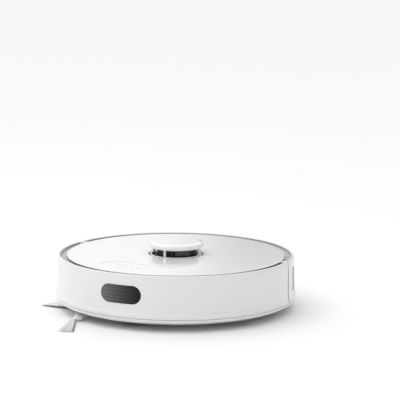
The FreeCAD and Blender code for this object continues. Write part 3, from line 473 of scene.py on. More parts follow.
GROUPS = {"moulded": moulded_group, "brushed": brushed_group, "fibre": fibre_group, "circuit": circuit_group,
          "louvre": louvre_group}


def finish(slot, group, color, scale, variation, roughness, spread, depth, metallic=0.0, coat=0.0, ior=1.5):
    """A finish: the frame's slot, which is not used, its effect group, colour, grain scale per metre, shade
    variation, roughness and its spread, how deep the grain is in metres, metallic, clear coat and refraction."""
    return dict(slot=slot, group=group, color=color, scale=scale, variation=variation, roughness=roughness,
                spread=spread, depth=depth, metallic=metallic, coat=coat, ior=ior)


FINISHES = {
    "shell_white": finish("white_shell", "moulded", (0.87, 0.875, 0.88), 1600, 0.02, 0.3, 0.05, 4e-06,
                          coat=0.25),
    "cover_white": finish("white_shell", "moulded", (0.89, 0.895, 0.9), 1600, 0.015, 0.16, 0.03, 1.5e-06,
                          coat=0.4),
    "ring_silver": finish("silver_trim", "brushed", (0.45, 0.455, 0.47), 900, 0.06, 0.36, 0.08, 4e-06,
                          metallic=0.5),
    # dark partly as painted shade of the channel round the cover's edge
    "edge_silver_and_shade": finish("silver_trim", "brushed", (0.2, 0.203, 0.21), 900, 0.1, 0.34, 0.08, 4e-06,
                          metallic=0.6),
    "window_black": finish("dark_window", "moulded", (0.012, 0.012, 0.014), 900, 0.2, 0.07, 0.03, 1e-06,
                           coat=1.0),
    # its group paints a reflection into the smoke, paler towards -X
    "window_smoke": finish("dark_window", "louvre", (0.006, 0.006, 0.007), 1250, 0.1, 0.14, 0.03, 1e-06,
                           ior=1.3),
    "chassis_pale": finish("chassis_grey", "moulded", (0.74, 0.75, 0.76), 2400, 0.03, 0.5, 0.1, 2.5e-05),
    # partly painted shade: dark so the pan's chamfer below the skirt merges with the floor's contact shadow
    "chassis_grey": finish("chassis_grey", "moulded", (0.34, 0.345, 0.355), 2400, 0.05, 0.5, 0.1, 2.5e-05),
    "plastic_black": finish("inner_black", "moulded", (0.02, 0.02, 0.022), 2200, 0.25, 0.48, 0.14, 2.5e-05),
    "plastic_grey": finish("inner_grey", "moulded", (0.2, 0.205, 0.215), 2200, 0.08, 0.46, 0.12, 2.5e-05),
    "rubber_black": finish("tyre_rubber", "moulded", (0.022, 0.022, 0.023), 1500, 0.5, 0.78, 0.18, 6e-05),
    "blade_rubber": finish("brush_bristle", "moulded", (0.3, 0.31, 0.33), 1500, 0.15, 0.62, 0.15, 4e-05),
    "steel_drawn": finish("motor_can", "brushed", (0.56, 0.56, 0.57), 1300, 0.16, 0.33, 0.14, 8e-06,
                          metallic=1.0),
    "steel_zinc": finish("steel", "brushed", (0.66, 0.66, 0.68), 1500, 0.14, 0.28, 0.14, 8e-06, metallic=1.0),
    "contact_plated": finish("gold_contact", "brushed", (0.78, 0.76, 0.72), 1500, 0.1, 0.24, 0.12, 5e-06,
                             metallic=1.0),
    "solder_green": finish("circuit_board", "circuit", (0.012, 0.16, 0.07), 160, 0.9, 0.36, 0.1, 3e-05,
                           coat=0.3),
    "cell_wrap": finish("cell_wrap", "moulded", (0.03, 0.1, 0.3), 700, 0.12, 0.3, 0.12, 6e-05, coat=0.3),
    "bristle_pale": finish("bristle", "fibre", (0.8, 0.8, 0.805), 1400, 0.5, 0.42, 0.2, 2e-05),
    "bristle_dark": finish("brush_bristle", "fibre", (0.05, 0.05, 0.055), 1600, 0.8, 0.5, 0.2, 3e-05),
    # painted shadow: the darker strands along one edge of each side-brush fan
    "bristle_shadow_grey": finish("bristle", "fibre", (0.22, 0.22, 0.225), 1400, 0.6, 0.5, 0.15, 3e-05),
    "filter_paper": finish("filter_paper", "fibre", (0.84, 0.83, 0.79), 900, 0.12, 0.9, 0.08, 5e-05),
    "smoked_plastic": finish("smoke_clear", "moulded", (0.055, 0.057, 0.062), 900, 0.12, 0.16, 0.08, 2e-06,
                             coat=0.6),
    "lens_coated": finish("lens", "moulded", (0.05, 0.02, 0.06), 600, 0.5, 0.05, 0.02, 1e-06, coat=1.0),
    "print_grey": finish("white_shell", "moulded", (0.42, 0.43, 0.45), 1800, 0.08, 0.45, 0.08, 2e-06),
    "panel_smoked": finish("dark_window", "moulded", (0.05, 0.05, 0.053), 900, 0.15, 0.2, 0.05, 1e-06,
                           coat=0.5),
}

NODE_FINISH = {
    "cell_wrap": ["battery_pack"],
    "chassis_pale": ["front_wall"],
    "plastic_black": ["bumper_switches", "fan_housing", "caster_wheel"],
    "plastic_grey": ["brush_chamber", "suction_duct", "lidar_motor_pulley", "fan_impeller", "mid_deck"],
    "rubber_black": ["lidar_belt", "evac_flap"],
    "solder_green": ["main_board", "button_board"],
    "steel_drawn": ["brush_motor", "side_brush_motor", "fan_motor", "lidar_motor", "left_wheel_motor",
                    "right_wheel_motor"],
    "steel_zinc": ["bumper_springs", "left_suspension_spring", "right_suspension_spring", "lidar_bearing"],
    "lens_coated": ["lidar_lenses"],
}


def finish_named(name):
    """The material of a finish, made on first use."""
    if name in bpy.data.materials:
        return bpy.data.materials[name]
    spec = FINISHES[name]
    material = bpy.data.materials.new(name)
    material.use_nodes = True
    tree = material.node_tree
    shader = tree.nodes["Principled BSDF"]
    shader.inputs["Metallic"].default_value = spec["metallic"]
    shader.inputs["Coat Weight"].default_value = spec["coat"]
    shader.inputs["Coat Roughness"].default_value = 0.1
    shader.inputs["IOR"].default_value = spec["ior"]
    effect = tree.nodes.new("ShaderNodeGroup")
    if spec["group"] not in bpy.data.node_groups:
        GROUPS[spec["group"]]().name = spec["group"]
    effect.node_tree = bpy.data.node_groups[spec["group"]]
    effect.inputs["Color"].default_value = (*spec["color"], 1)
    for label in ("Scale", "Variation", "Roughness", "Spread"):
        effect.inputs[label].default_value = spec[label.lower()]
    place = tree.nodes.new("ShaderNodeTexCoord")
    bump = tree.nodes.new("ShaderNodeBump")
    bump.inputs["Strength"].default_value = 0.6
    bump.inputs["Distance"].default_value = spec["depth"]
    tree.links.new(place.outputs["Object"], effect.inputs["Vector"])
    tree.links.new(effect.outputs["Color"], shader.inputs["Base Color"])
    tree.links.new(effect.outputs["Roughness"], shader.inputs["Roughness"])
    tree.links.new(effect.outputs["Height"], bump.inputs["Height"])
    tree.links.new(bump.outputs["Normal"], shader.inputs["Normal"])
    return material


# --- properties --------------------------------------------------------------------

class VacuumLooks(bpy.types.PropertyGroup):
    """What a user would change before building the looks."""
    rim_round: bpy.props.FloatProperty(
        name="Rim rounding", description="Rounding of the outer rim's shoulder", default=3.2 * MM, min=0.0,
        unit="LENGTH")
    button_gap: bpy.props.FloatProperty(
        name="Button gap", description="Gap around each button", default=0.35 * MM, min=0.0, unit="LENGTH")
    bristles: bpy.props.IntProperty(
        name="Bristles", description="Bristles in each tuft of the side brush", default=90, min=10, max=400)
    brush_tufts: bpy.props.IntProperty(
        name="Brush tufts", description="Tufts in each row of the main brush", default=44, min=6, max=120)
    tread_blocks: bpy.props.IntProperty(
        name="Tread blocks", description="Blocks around each tyre", default=30, min=8, max=80)
    sky: bpy.props.FloatProperty(
        name="Overhead light", description="Strength of the light from straight above", default=1.50, min=0.0)
    horizon: bpy.props.FloatProperty(
        name="Side light", description="Strength of the light from the sides", default=0.22, min=0.0)
    floor_color: bpy.props.FloatVectorProperty(
        name="Floor", description="Colour of the studio floor", default=(0.93, 0.93, 0.93), min=0.0, max=1.0,
        size=3, subtype="COLOR")


def looks():
    return bpy.context.scene.vacuum_looks


# --- outer shells ------------------------------------------------------------------

def wall_outline(rim_round):
    """Millimetre corners of the drafted wall, its lip, rim and the shelf under the cover's edge."""
    radius = BODY_RADIUS / MM
    rim = RIM_TOP / MM
    lip = LIP_LOW / MM
    return [(radius - 4.6, lip - 1.1, 0.3), (radius - 1.1, lip - 1.1, 0.5), (radius - 0.35, lip, 0.4),
            (radius, lip + 2.6, 0.5), (radius - 0.4, lip + 5.0, 0.5), (radius - 1.5, lip + 5.8, 0.4),
            (radius - 1.75, lip + 8.5, 1.5), (radius - 2.6, rim - 3.4, 9.0),
            (radius - 3.7, rim - 0.3, rim_round / MM), (radius - 5.2, rim, 0.9), (radius - 6.5, rim - 0.9, 0.5),
            (radius - 6.5, rim - 4.9, 0.0), (153.0, rim - 4.9, 0.0), (153.0, rim - 6.7, 0.0),
            (radius - 6.4, rim - 6.7, 0.0), (radius - 5.0, rim - 7.6, 0.5)]


def keep_front(obj):
    return slice_off(obj, (0, SEAM_FRONT, 0), (0, 1, 0))


def keep_rear(obj, start=SEAM_REAR):
    return slice_off(obj, (0, start, 0), (0, -1, 0))


def ring_outline():
    """The silver channel: a flat floor that turns up inside the rim."""
    rim = RIM_TOP / MM
    outer = BODY_RADIUS / MM - 6.55
    floor = RING_TOP / MM
    return [(RING_INSIDE, floor - 0.75, 0.0), (outer, floor - 0.75, 0.0), (outer, rim - 1.5, 0.1),
            (outer - 0.7, rim - 1.6, 0.15), (outer - 0.8, floor, 0.8), (RING_INSIDE, floor, 0.0)]


class VACUUM_OT_front_bumper(bpy.types.Operator):
    """Model the bumper wall with its window opening, and the silver ring it carries"""
    bl_idname = "vacuum.front_bumper"
    bl_label = "Front Bumper"

    def execute(self, context):
        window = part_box("sensor_window")
        half = (window[1].x - window[0].x) / 2
        tall = window[1].z - window[0].z
        height = middle("sensor_window").z
        wall = keep_front(lathe("front_bumper_wall", wall_outline(looks().rim_round), ROUND))
        carve(wall, pill("window_cutter", half + 0.35 * MM, tall + 0.7 * MM, -0.2, -0.1, (0, height), "Y", 28))
        edit(wall)

        def is_rim(centre, item):
            near = abs(centre.x) < half + MM and abs(centre.z - height) < tall * 0.52 + MM
            outside = centre.y < -0.9 * BODY_RADIUS and centre.length > BODY_RADIUS
            return near and outside and item.calc_face_angle(0) > 1.0
        pick("EDGE", is_rim)
        bpy.ops.mesh.bevel(offset=0.35 * MM, segments=2)
        smooth(wall)
        mount(wall, "bumper", "shell_white", "bumper")
        ring = keep_front(lathe("front_channel_ring", ring_outline(), ROUND))
        mount(smooth(ring), "bumper", "ring_silver", "bumper_trim_ring")
        return {"FINISHED"}


class VACUUM_OT_sensor_window(bpy.types.Operator):
    """Model the smoked sensor window that sits flush in the bumper"""
    bl_idname = "vacuum.sensor_window"
    bl_label = "Sensor Window"

    def execute(self, context):
        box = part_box("sensor_window")
        half = (box[1].x - box[0].x) / 2
        tall = box[1].z - box[0].z
        radius = BODY_RADIUS / MM
        wall = lathe("bumper_window", [(radius - 4.6, 30, 0), (radius - 1.95, 30, 0), (radius - 2.7, 71, 0),
                                       (radius - 4.6, 71, 0)], 384)
        cutter = pill("window_shape", half, tall, -0.2, -0.1, (0, middle("sensor_window").z), "Y", 28)
        carve(wall, cutter, operation="INTERSECT")
        ease(wall, 0.3 * MM, 3, 50)
        mount(smooth(wall, math.radians(60)), "bumper", "window_smoke", "sensor_window")
        return {"FINISHED"}


class VACUUM_OT_rear_shell(bpy.types.Operator):
    """Model the rear shell with its ribs, drawer mouth and openings, and its silver ring"""
    bl_idname = "vacuum.rear_shell"
    bl_label = "Rear Shell"

    def execute(self, context):
        wall = keep_rear(lathe("rear_shell_wall", wall_outline(looks().rim_round), ROUND))
        radius = BODY_RADIUS / MM
        inside = COVER_RADIUS / MM + 0.45
        base = RING_TOP / MM - 0.8
        rib = lathe("rib", [(inside, base, 0), (radius - 6, base, 0), (radius - 6, RIM_TOP / MM - 1.0, 0.4),
                            (inside, COVER_TOP / MM - 0.5, 0.5)])
        slice_off(keep_rear(rib), (0, SEAM_REAR + RIB_DEPTH, 0), (0, 1, 0))
        ease(rib, 0.5 * MM, 3, 60)
        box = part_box("dust_box")
        mouth = block("mouth", (box[0].x - 0.5 * MM, 0.12, box[0].z - 0.5 * MM),
                      (box[1].x + 0.5 * MM, 0.2, high("dust_box_lid").z + 0.5 * MM))
        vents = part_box("side_grilles")
        cutters = [mouth]
        for side in (-1, 1):
            cutters.append(block("vent", (side * 0.14, vents[0].y, vents[0].z),
                                 (side * 0.2, vents[1].y, vents[1].z)))
            pad = Vector((side * CONTACT_OFFSET, 0.165, middle("charging_contacts").z))
            size = CONTACT_HALF + Vector((0, 0.015, 0))
            cutters.append(block("pad", pad - size, pad + size))
        carve(wall, *cutters)
        wall = combine("rear_shell_wall", [wall, rib])
        mount(smooth(wall), "chassis", "shell_white", "rear_shell")
        ring = keep_rear(lathe("rear_channel_ring", ring_outline(), ROUND), SEAM_REAR + RIB_DEPTH)
        mount(smooth(ring), "chassis", "ring_silver", "rear_trim_ring")
        contacts = softened("charging_contacts", 0.4 * MM, "charging_strips")
        mount(contacts, "chassis", "contact_plated", "charging_contacts")
        mount(softened("side_grilles", 0.25 * MM, "flank_vents"), "chassis", "chassis_pale", "side_grilles")
        return {"FINISHED"}


# --- cover and controls ------------------------------------------------------------

def panel_cutter():
    """The shallow bean-shaped dish round the controls, swept about the body's centre."""
    deselect()
    bpy.ops.mesh.primitive_circle_add(vertices=48, radius=DISH_HALF * MM, fill_type="NGON",
                                      location=(0, -DISH_RADIUS * MM, COVER_TOP - DISH_DEPTH * MM))
    end = settle(added("dish_end"))
    edit(end)
    bpy.ops.mesh.extrude_region_move(TRANSFORM_OT_translate={"value": (0, 0, 3 * MM)})
    close_mesh(end)
    ends = [end, bpy.data.objects.new("dish_end_b", end.data.copy())]
    bpy.context.scene.collection.objects.link(ends[1])
    for side, obj in zip((-1, 1), ends):
        obj.data.transform(Matrix.Rotation(side * DISH_TURN, 4, "Z"))
    inner, outer = DISH_RADIUS - DISH_HALF + 0.02, DISH_RADIUS + DISH_HALF - 0.02
    bottom, lid = COVER_TOP / MM - DISH_DEPTH, COVER_TOP / MM + 2.5
    band = lathe("dish_band", [(inner, bottom, 0), (outer, bottom, 0), (outer, lid, 0), (inner, lid, 0)], 180)
    for side in (-1, 1):
        turn = Vector((math.cos(DISH_TURN) * side, math.sin(DISH_TURN), 0))
        slice_off(band, (0, 0, 0), turn)
    slice_off(band, (0, 0, 0), (0, 1, 0))
    carve(band, *ends, operation="UNION")
    return band


def lamp_places():
    lamp = middle("indicator_lens")
    return [Vector((lamp.x + step * 2.6 * MM, lamp.y + abs(step) * 0.15 * MM, 0)) for step in (-1.5, -0.5, 0.5, 1.5)]


class VACUUM_OT_top_cover(bpy.types.Operator):
    """Model the round lift-off cover with its control dish and its dark silver edge band, whose dark tone is partly
    painted shade
    """
    bl_idname = "vacuum.top_cover"
    bl_label = "Top Cover"

    def execute(self, context):
        top = COVER_TOP / MM
        edge = COVER_RADIUS / MM
        cover = lathe("round_cover", [(39.8, top - 3, 0), (144, top - 3, 0), (144, DECK_TOP / MM + 0.05, 0.3),
                                      (147, DECK_TOP / MM + 0.05, 0.3), (147, top - 3, 0), (edge - 0.5, top - 3, 0),
                                      (edge - 0.5, top - 1.5, 0), (edge - 0.05, top - 1.3, 0.1),
                                      (edge - 0.35, top - 0.05, 0.8), (edge - 3.5, top, 3), (40.2, top, 0.6),
                                      (39.8, top - 0.6, 0)], ROUND)
        gap = looks().button_gap
        cutters = [panel_cutter()]
        for node in ("power_button", "home_button"):
            half = (high(node).x - low(node).x) / 2
            cutters.append(pill("key_hole", half + gap, KEY_DEPTH + gap * 2, 0.07, 0.09, middle(node).xy))
        for place in lamp_places():
            cutters.append(pill("lamp_hole", 0.75 * MM, 1.5 * MM - 1e-5, 0.07, 0.09, (place.x, place.y), segments=8))
        carve(cover, *cutters)
        edit(cover)
        pick("EDGE", lambda centre, item: item.calc_face_angle(0) > 1.0 and centre.z > COVER_TOP - 0.6 * MM
             and centre.y < -0.09 and centre.xy.length < 0.145)
        bpy.ops.mesh.bevel(offset=0.12 * MM, segments=2, clamp_overlap=False)
        mount(smooth(cover), "cover", "cover_white", "top_cover")
        # the edge band's dark tone is partly painted shade: the cover's edge sits in the shade of the channel
        band = lathe("cover_edge_band", [(edge - 1.2, top - 2.95, 0), (edge - 0.05, top - 2.95, 0.2),
                                         (edge, top - 1.35, 0.1), (edge - 1.2, top - 1.4, 0)], ROUND)
        mount(smooth(band), "cover", "edge_silver_and_shade")
        return {"FINISHED"}


def mark_power(centre, height):
    """A generic on symbol: an open ring and a stroke."""
    deselect()
    bpy.ops.mesh.primitive_torus_add(major_radius=2.0 * MM, minor_radius=0.16 * MM, major_segments=40,
                                     minor_segments=6, location=(centre.x, centre.y, height))
    ring = settle(added("power_ring"))
    carve(ring, block("ring_gap", (centre.x - 0.8 * MM, centre.y, height - MM),
                      (centre.x + 0.8 * MM, centre.y + 3 * MM, height + MM)))
    stroke = pill("power_stroke", 1.1 * MM, 0.32 * MM, height + SYMBOL_LOW, height + SYMBOL_HIGH, (0, 0), segments=5)
    stroke.data.transform(Matrix.Translation((centre.x, centre.y + 1.5 * MM, 0))
                          @ Matrix.Rotation(math.pi / 2, 4, "Z"))
    return combine("power_symbol", [ring, stroke])


def mark_home(centre, height):
    """A generic house symbol: a square frame under a gable."""
    strokes = []
    corners = [(-1.5, -1.6), (1.5, -1.6), (1.5, 0.4), (2.1, 0.4), (0, 2.2), (-2.1, 0.4), (-1.5, 0.4), (-1.5, -1.6)]
    for start, end in zip(corners, corners[1:]):
        start, end = Vector(start) * MM, Vector(end) * MM
        along = end - start
        stroke = pill("house_stroke", along.length / 2 + 0.12 * MM, 0.28 * MM, height + SYMBOL_LOW,
                      height + SYMBOL_HIGH, (0, 0), segments=4)
        angle = math.atan2(along.y, along.x)
        place = (start + end) / 2
        stroke.data.transform(Matrix.Translation((centre.x + place.x, centre.y + place.y, 0))
                              @ Matrix.Rotation(angle, 4, "Z"))
        strokes.append(stroke)
    return combine("home_symbol", strokes)


class VACUUM_OT_controls(bpy.types.Operator):
    """Model the two buttons with their symbols and the row of indicator lamps"""
    bl_idname = "vacuum.controls"
    bl_label = "Controls"

    def execute(self, context):
        for node, body, symbol in (("power_button", "power_key", mark_power), ("home_button", "home_key", mark_home)):
            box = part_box(node)
            centre = middle(node)
            key = pill(node + "_cap", (box[1].x - box[0].x) / 2, KEY_DEPTH, box[1].z - 3.3 * MM, box[1].z,
                       (centre.x, centre.y), segments=24)
            edit(key)
            pick("FACE", lambda place, item: item.normal.z > 0.9)
            bpy.ops.mesh.inset(thickness=2.2 * MM)
            bpy.ops.transform.translate(value=(0, 0, -0.12 * MM))
            bpy.ops.object.mode_set(mode="OBJECT")
            ease(key, 0.35 * MM, 3, 50)
            foot, head = box[0].z / MM, box[1].z / MM - 3
            stem = lathe(node + "_stem", [(0, foot, 0), (2.4, foot, 0.3), (2.4, head, 0.0), (0, head, 0)], 24,
                         centre=(centre.x, centre.y), closed=False)
            key = combine(node + "_cap", [key, stem])
            mount(smooth(key, math.radians(50)), body, "cover_white", node)
            mark = symbol(Vector((centre.x, centre.y, 0)), box[1].z - 0.12 * MM)
            mount(smooth(mark), body, "print_grey")
        dots = []
        for place in lamp_places():
            dots.append(lathe("lamp_dot", [(0, COVER_TOP / MM - 2.5, 0), (0.72, COVER_TOP / MM - 2.5, 0),
                                           (0.72, COVER_TOP / MM - 0.45, 0.2), (0, COVER_TOP / MM - 0.38, 0)], 20,
                              centre=(place.x, place.y), closed=False))
        mount(smooth(combine("indicator_dots", dots)), "cover", "print_grey", "indicator_lens", slot="lamp")
        return {"FINISHED"}


# --- laser turret ------------------------------------------------------------------

class VACUUM_OT_turret(bpy.types.Operator):
    """Model the turret: its cap, its ring with four posts and the rotor inside"""
    bl_idname = "vacuum.turret"
    bl_label = "Laser Turret"

    def execute(self, context):
        cap = CAP_RADIUS / MM
        top = CAP_TOP / MM
        slot = SLOT_TOP / MM
        lid = lathe("turret_lid", [(0, top - 2.2, 0), (cap - 7, top - 2.2, 1.0), (35.2, slot + 2.4, 0.5),
                                   (35.2, slot, 0.3), (cap - 1.6, slot, 0.8), (cap - 0.1, slot + 1.9, 1.2),
                                   (cap, slot + 3.2, 1.5), (cap - 1.7, top - 1.1, 4.5), (cap - 6.5, top, 6.0),
                                   (0, top, 0)], 160, closed=False)
        mount(smooth(lid), "chassis", "cover_white", "turret_cap")
        outer = CAGE_RADIUS / MM
        ring = lathe("turret_ring", [(35.2, DECK_TOP / MM, 0), (outer + 1.8, DECK_TOP / MM, 0.3),
                                     (outer + 1.8, DECK_TOP / MM + 1.5, 0.5), (outer, DECK_TOP / MM + 1.5, 0.5),
                                     (outer, 78.5, 0.8), (35.2, 78.5, 0.5)], 128)
        post = block("turret_post", (-1.75 * MM, -outer * MM + 0.1 * MM, 77.5 * MM),
                     (1.75 * MM, -outer * MM + 2.5 * MM, SLOT_TOP))
        ease(post, 0.5 * MM, 3)
        posts = copies(post, "turret_posts", [Matrix.Rotation(turn * math.pi / 2, 4, "Z") for turn in range(4)])
        cage = combine("turret_frame", [ring, posts])
        mount(smooth(cage), "chassis", "shell_white", "turret_cage")
        self.rotor()
        return {"FINISHED"}

    def rotor(self):
        """The spinning head: a black drum with a smoked panel over the flat that faces the lenses."""
        base, top = 72.4, 87.4
        drum = lathe("scanner_drum", [(0, 60, 0), (6, 60, 0.3), (6, 66.4, 0), (22, 66.4, 0.3), (22, 66.9, 0.2),
                                      (21, 67.1, 0), (21, 69.1, 0), (22, 69.3, 0.2), (22, 69.8, 0.3), (6, 69.8, 0),
                                      (6, base, 0), (31, base, 0.6), (31, base + 4.6, 0.4), (29.6, base + 5.2, 0.3),
                                      (29.6, top - 1.4, 0.3), (31, top - 0.9, 0.4), (31, top, 0.6), (0, top, 0)],
                     96, closed=False)
        flat = block("flat_cutter", (-0.05, -0.05, (base + 5.6) * MM), (0.05, -0.0262, (top - 0.8) * MM))
        flat.data.transform(Matrix.Rotation(math.radians(45), 4, "Z"))
        carve(drum, flat)
        mount(smooth(drum), "lidar_head", "plastic_black", "lidar_rotor")
        panels = []
        for angle, half in ((45, 11.4), (-52, 9.0), (160, 9.0)):
            panel = block("scan_panel", (-half * MM, -0.0296, (base + 5.9) * MM),
                          (half * MM, -0.0281, (top - 1.2) * MM))
            ease(panel, 0.4 * MM, 2)
            panel.data.transform(Matrix.Rotation(math.radians(angle), 4, "Z"))
            panels.append(panel)
        mount(smooth(combine("scanner_panels", panels)), "lidar_head", "panel_smoked")


# --- brushes -----------------------------------------------------------------------

def hub_place():
    shaft = middle("side_brush_motor")
    return Vector((shaft.x, shaft.y, 0))


class VACUUM_OT_side_brush(bpy.types.Operator):
    """Model the side brush: its hub and arms, and three fans of single bristles"""
    bl_idname = "vacuum.side_brush"
    bl_label = "Side Brush"

    reach = 103.6 * MM
    first_angle = math.radians(39.5)

    def execute(self, context):
        centre = hub_place()
        hub = lathe("side_hub", [(0, 4.2, 0), (3.2, 4.2, 0), (3.4, 5.0, 0.2), (7.5, 5.0, 1.0), (11, 7.2, 1.5),
                                 (11, 9.6, 0.6), (3, 9.9, 0.3), (3, 24, 0.4), (0, 24, 0)], 64,
                    centre=(centre.x, centre.y), closed=False)
        turns = [self.first_angle + index * math.tau / 3 for index in range(3)]
        brush = combine("side_brush_spider", [hub] + [self.arm(centre, turn) for turn in turns])
        mount(smooth(brush, math.radians(45)), "side_brush", "shell_white", "side_brush")
        tufts = [self.tuft(centre, turn, index, -1, 0.78) for index, turn in enumerate(turns)]
        mount(smooth(combine("side_brush_tufts", tufts), math.radians(60)), "side_brush", "bristle_pale",
              "side_brush_bristles")
        # painted shadow: a band of darker strands along one edge of each fan, where the fan's own shade falls
        edges = [self.tuft(centre, turn, index + 3, 0.82, 1) for index, turn in enumerate(turns)]
        mount(smooth(combine("side_brush_dark_edge", edges), math.radians(60)), "side_brush", "bristle_shadow_grey",
              slot="bristle")
        screw = lathe("side_brush_screw", [(0, 4.6, 0), (0.9, 4.5, 0.1), (1.1, 3.6, 0.1), (2.4, 3.5, 0.5),
                                           (2.9, 4.4, 0.2), (0, 4.5, 0)], 32, centre=(centre.x, centre.y),
                      closed=False)
        mount(smooth(screw), "side_brush", "steel_zinc")
        return {"FINISHED"}

    def arm(self, centre, angle):
        """One swept arm, drawn out from the hub in steps and narrowed into the sleeve of its tuft."""
        arm = block("side_arm", (3 * MM, -9.5 * MM, 6.3 * MM), (6 * MM, -2.5 * MM, 9.2 * MM))
        edit(arm)
        for x, y, drop, narrow in ((7, -5.6, -0.5, 0.66), (7.5, -3.1, -0.8, 0.9), (8.5, 0.6, -1.0, 1.0),
                                   (8.5, 2.8, -1.0, 1.05), (4.5, 0.7, -0.4, 1.15)):
            pick("FACE", lambda place, item: item.normal.x > 0.6)
            bpy.ops.mesh.extrude_region_move(TRANSFORM_OT_translate={"value": (x * MM, y * MM, drop * MM)})
            bpy.ops.transform.resize(value=(1, narrow, 0.97))
        bpy.ops.object.mode_set(mode="OBJECT")
        ease(arm, 0.6 * MM, 3, 30)
        arm.data.transform(Matrix.Translation(centre) @ Matrix.Rotation(angle, 4, "Z"))
        return arm

    def tuft(self, centre, angle, seed, first, last):
        """Part of a fan of fine tapered bristles that spread from the sleeve and settle on the floor."""
        rng = random.Random(seed)
        deselect()
        bpy.ops.mesh.primitive_cone_add(vertices=4, radius1=0.40 * MM, radius2=0.20 * MM, depth=1.0,
                                        location=(0.5, 0, 0), rotation=(0, math.pi / 2, 0))
        strand = settle(added("strand"))
        root = Vector((40 * MM, -11.4 * MM, 0))
        heading = math.atan2(-root.y, self.reach - root.x)
        longest = math.hypot(root.y, self.reach - root.x)
        places = []
        count = round(looks().bristles * (last - first) / 2)
        for index in range(count):
            share = first + (last - first) * (index + rng.uniform(0.1, 0.9)) / count
            start = root + Vector((0, share * 2.4 * MM, rng.uniform(3.6, 4.8) * MM))
            length = longest * rng.uniform(0.94, 0.985) * (1 - 0.02 * abs(share))
            yaw = heading + share * math.radians(7.8) + rng.uniform(-0.012, 0.012)
            pitch = math.asin((start.z - rng.uniform(0.6, 1.6) * MM) / length)
            places.append(Matrix.Translation(centre) @ Matrix.Rotation(angle, 4, "Z") @ Matrix.Translation(start)
                          @ Matrix.Rotation(yaw, 4, "Z") @ Matrix.Rotation(pitch, 4, "Y")
                          @ Matrix.Diagonal((length, 1, 1, 1)))
        return copies(strand, "side_tuft", places)


def bar_places():
    return [step * GUARD_HALF / 3 for step in (-2, -1, 0, 1, 2)]


def blade_lengths():
    """The stretches of the brush between its guard bars."""
    gaps = [place + side * BAR_HALF for place in bar_places() for side in (-1, 1)]
    edges = sorted([-BRUSH_HALF, BRUSH_HALF] + gaps)
    return list(zip(edges[::2], edges[1::2]))


class VACUUM_OT_main_brush(bpy.types.Operator):
    """Model the main brush: its core, rubber blades and rows of bristle tufts in a chevron"""
    bl_idname = "vacuum.main_brush"
    bl_label = "Main Brush"

    lead = math.radians(70)

    def execute(self, context):
        axis = across_axis("main_brush_core")
        core = lathe("brush_roller", [(0, -92, 0), (5, -92, 0.6), (5, -84, 0), (10.4, -84, 0.5), (10.4, -81, 0.5),
                                      (8, -80.5, 0), (8, 80.5, 0), (10.4, 81, 0.5), (10.4, 84, 0.5), (5, 84, 0),
                                      (5, 90, 0.6), (0, 90, 0)], 64, "X", axis, closed=False)
        mount(smooth(core), "main_brush", "plastic_grey", "main_brush_core")
        blade = combine("brush_blade", [self.length(start, end) for start, end in blade_lengths()])
        turns = [Matrix.Translation((0, axis[0], axis[1])) @ Matrix.Rotation(index * math.tau / 3, 4, "X")
                 for index in range(3)]
        blade = copies(blade, "brush_blades", turns)
        mount(smooth(blade), "main_brush", "blade_rubber", slot="brush_bristle")
        mount(smooth(self.tufts(axis), math.radians(60)), "main_brush", "bristle_dark", "main_brush_bristles")
        return {"FINISHED"}

    def length(self, start, end):
        """One length of a rubber blade between two guard bars, turned slice by slice round the brush."""
        strip = block("blade_strip", (start, -0.75 * MM, 7.6 * MM), (end, 0.75 * MM, 20.2 * MM))
        edit(strip)
        steps = 6
        for step in range(1, steps):
            bpy.ops.mesh.select_all(action="SELECT")
            bpy.ops.mesh.bisect(plane_co=(start + (end - start) * step / steps, 0, 0), plane_no=(1, 0, 0))
        for step in range(steps + 1):
            place = start + (end - start) * step / steps
            pick("VERT", lambda point, item: abs(point.x - place) < 0.01 * MM)
            bpy.ops.transform.rotate(value=-self.turn(place), orient_axis="X", center_override=(0, 0, 0))
        bpy.ops.object.mode_set(mode="OBJECT")
        return strip

    def turn(self, place):
        return -abs(place) / BRUSH_HALF * self.lead

    def tufts(self, axis):
        """Bristle tufts in three rows between the blades, leaving a gap at each guard bar."""
        rng = random.Random(7)
        deselect()
        bpy.ops.mesh.primitive_cone_add(vertices=7, radius1=0.75 * MM, radius2=1.35 * MM, depth=12.2 * MM,
                                        location=(0, 0, 13.9 * MM))
        tuft = settle(added("brush_tuft"))
        edit(tuft)
        pick("FACE", lambda place, item: item.normal.z > 0.9)
        bpy.ops.mesh.poke(offset=-1.6 * MM)
        bpy.ops.object.mode_set(mode="OBJECT")
        places = []
        count = looks().brush_tufts
        for row in range(3):
            for index in range(count):
                x = (index / (count - 1) * 2 - 1) * 78 * MM
                if min(abs(x - bar) for bar in bar_places()) < 3.1 * MM:
                    continue
                angle = (row + 0.5) * math.tau / 3 + self.turn(x) + rng.uniform(-0.05, 0.05)
                places.append(Matrix.Translation((x, axis[0], axis[1])) @ Matrix.Rotation(angle, 4, "X")
                              @ Matrix.Rotation(rng.uniform(-0.06, 0.06), 4, "Y"))
        return copies(tuft, "brush_bristle_rows", places)


# --- wheels ------------------------------------------------------------------------

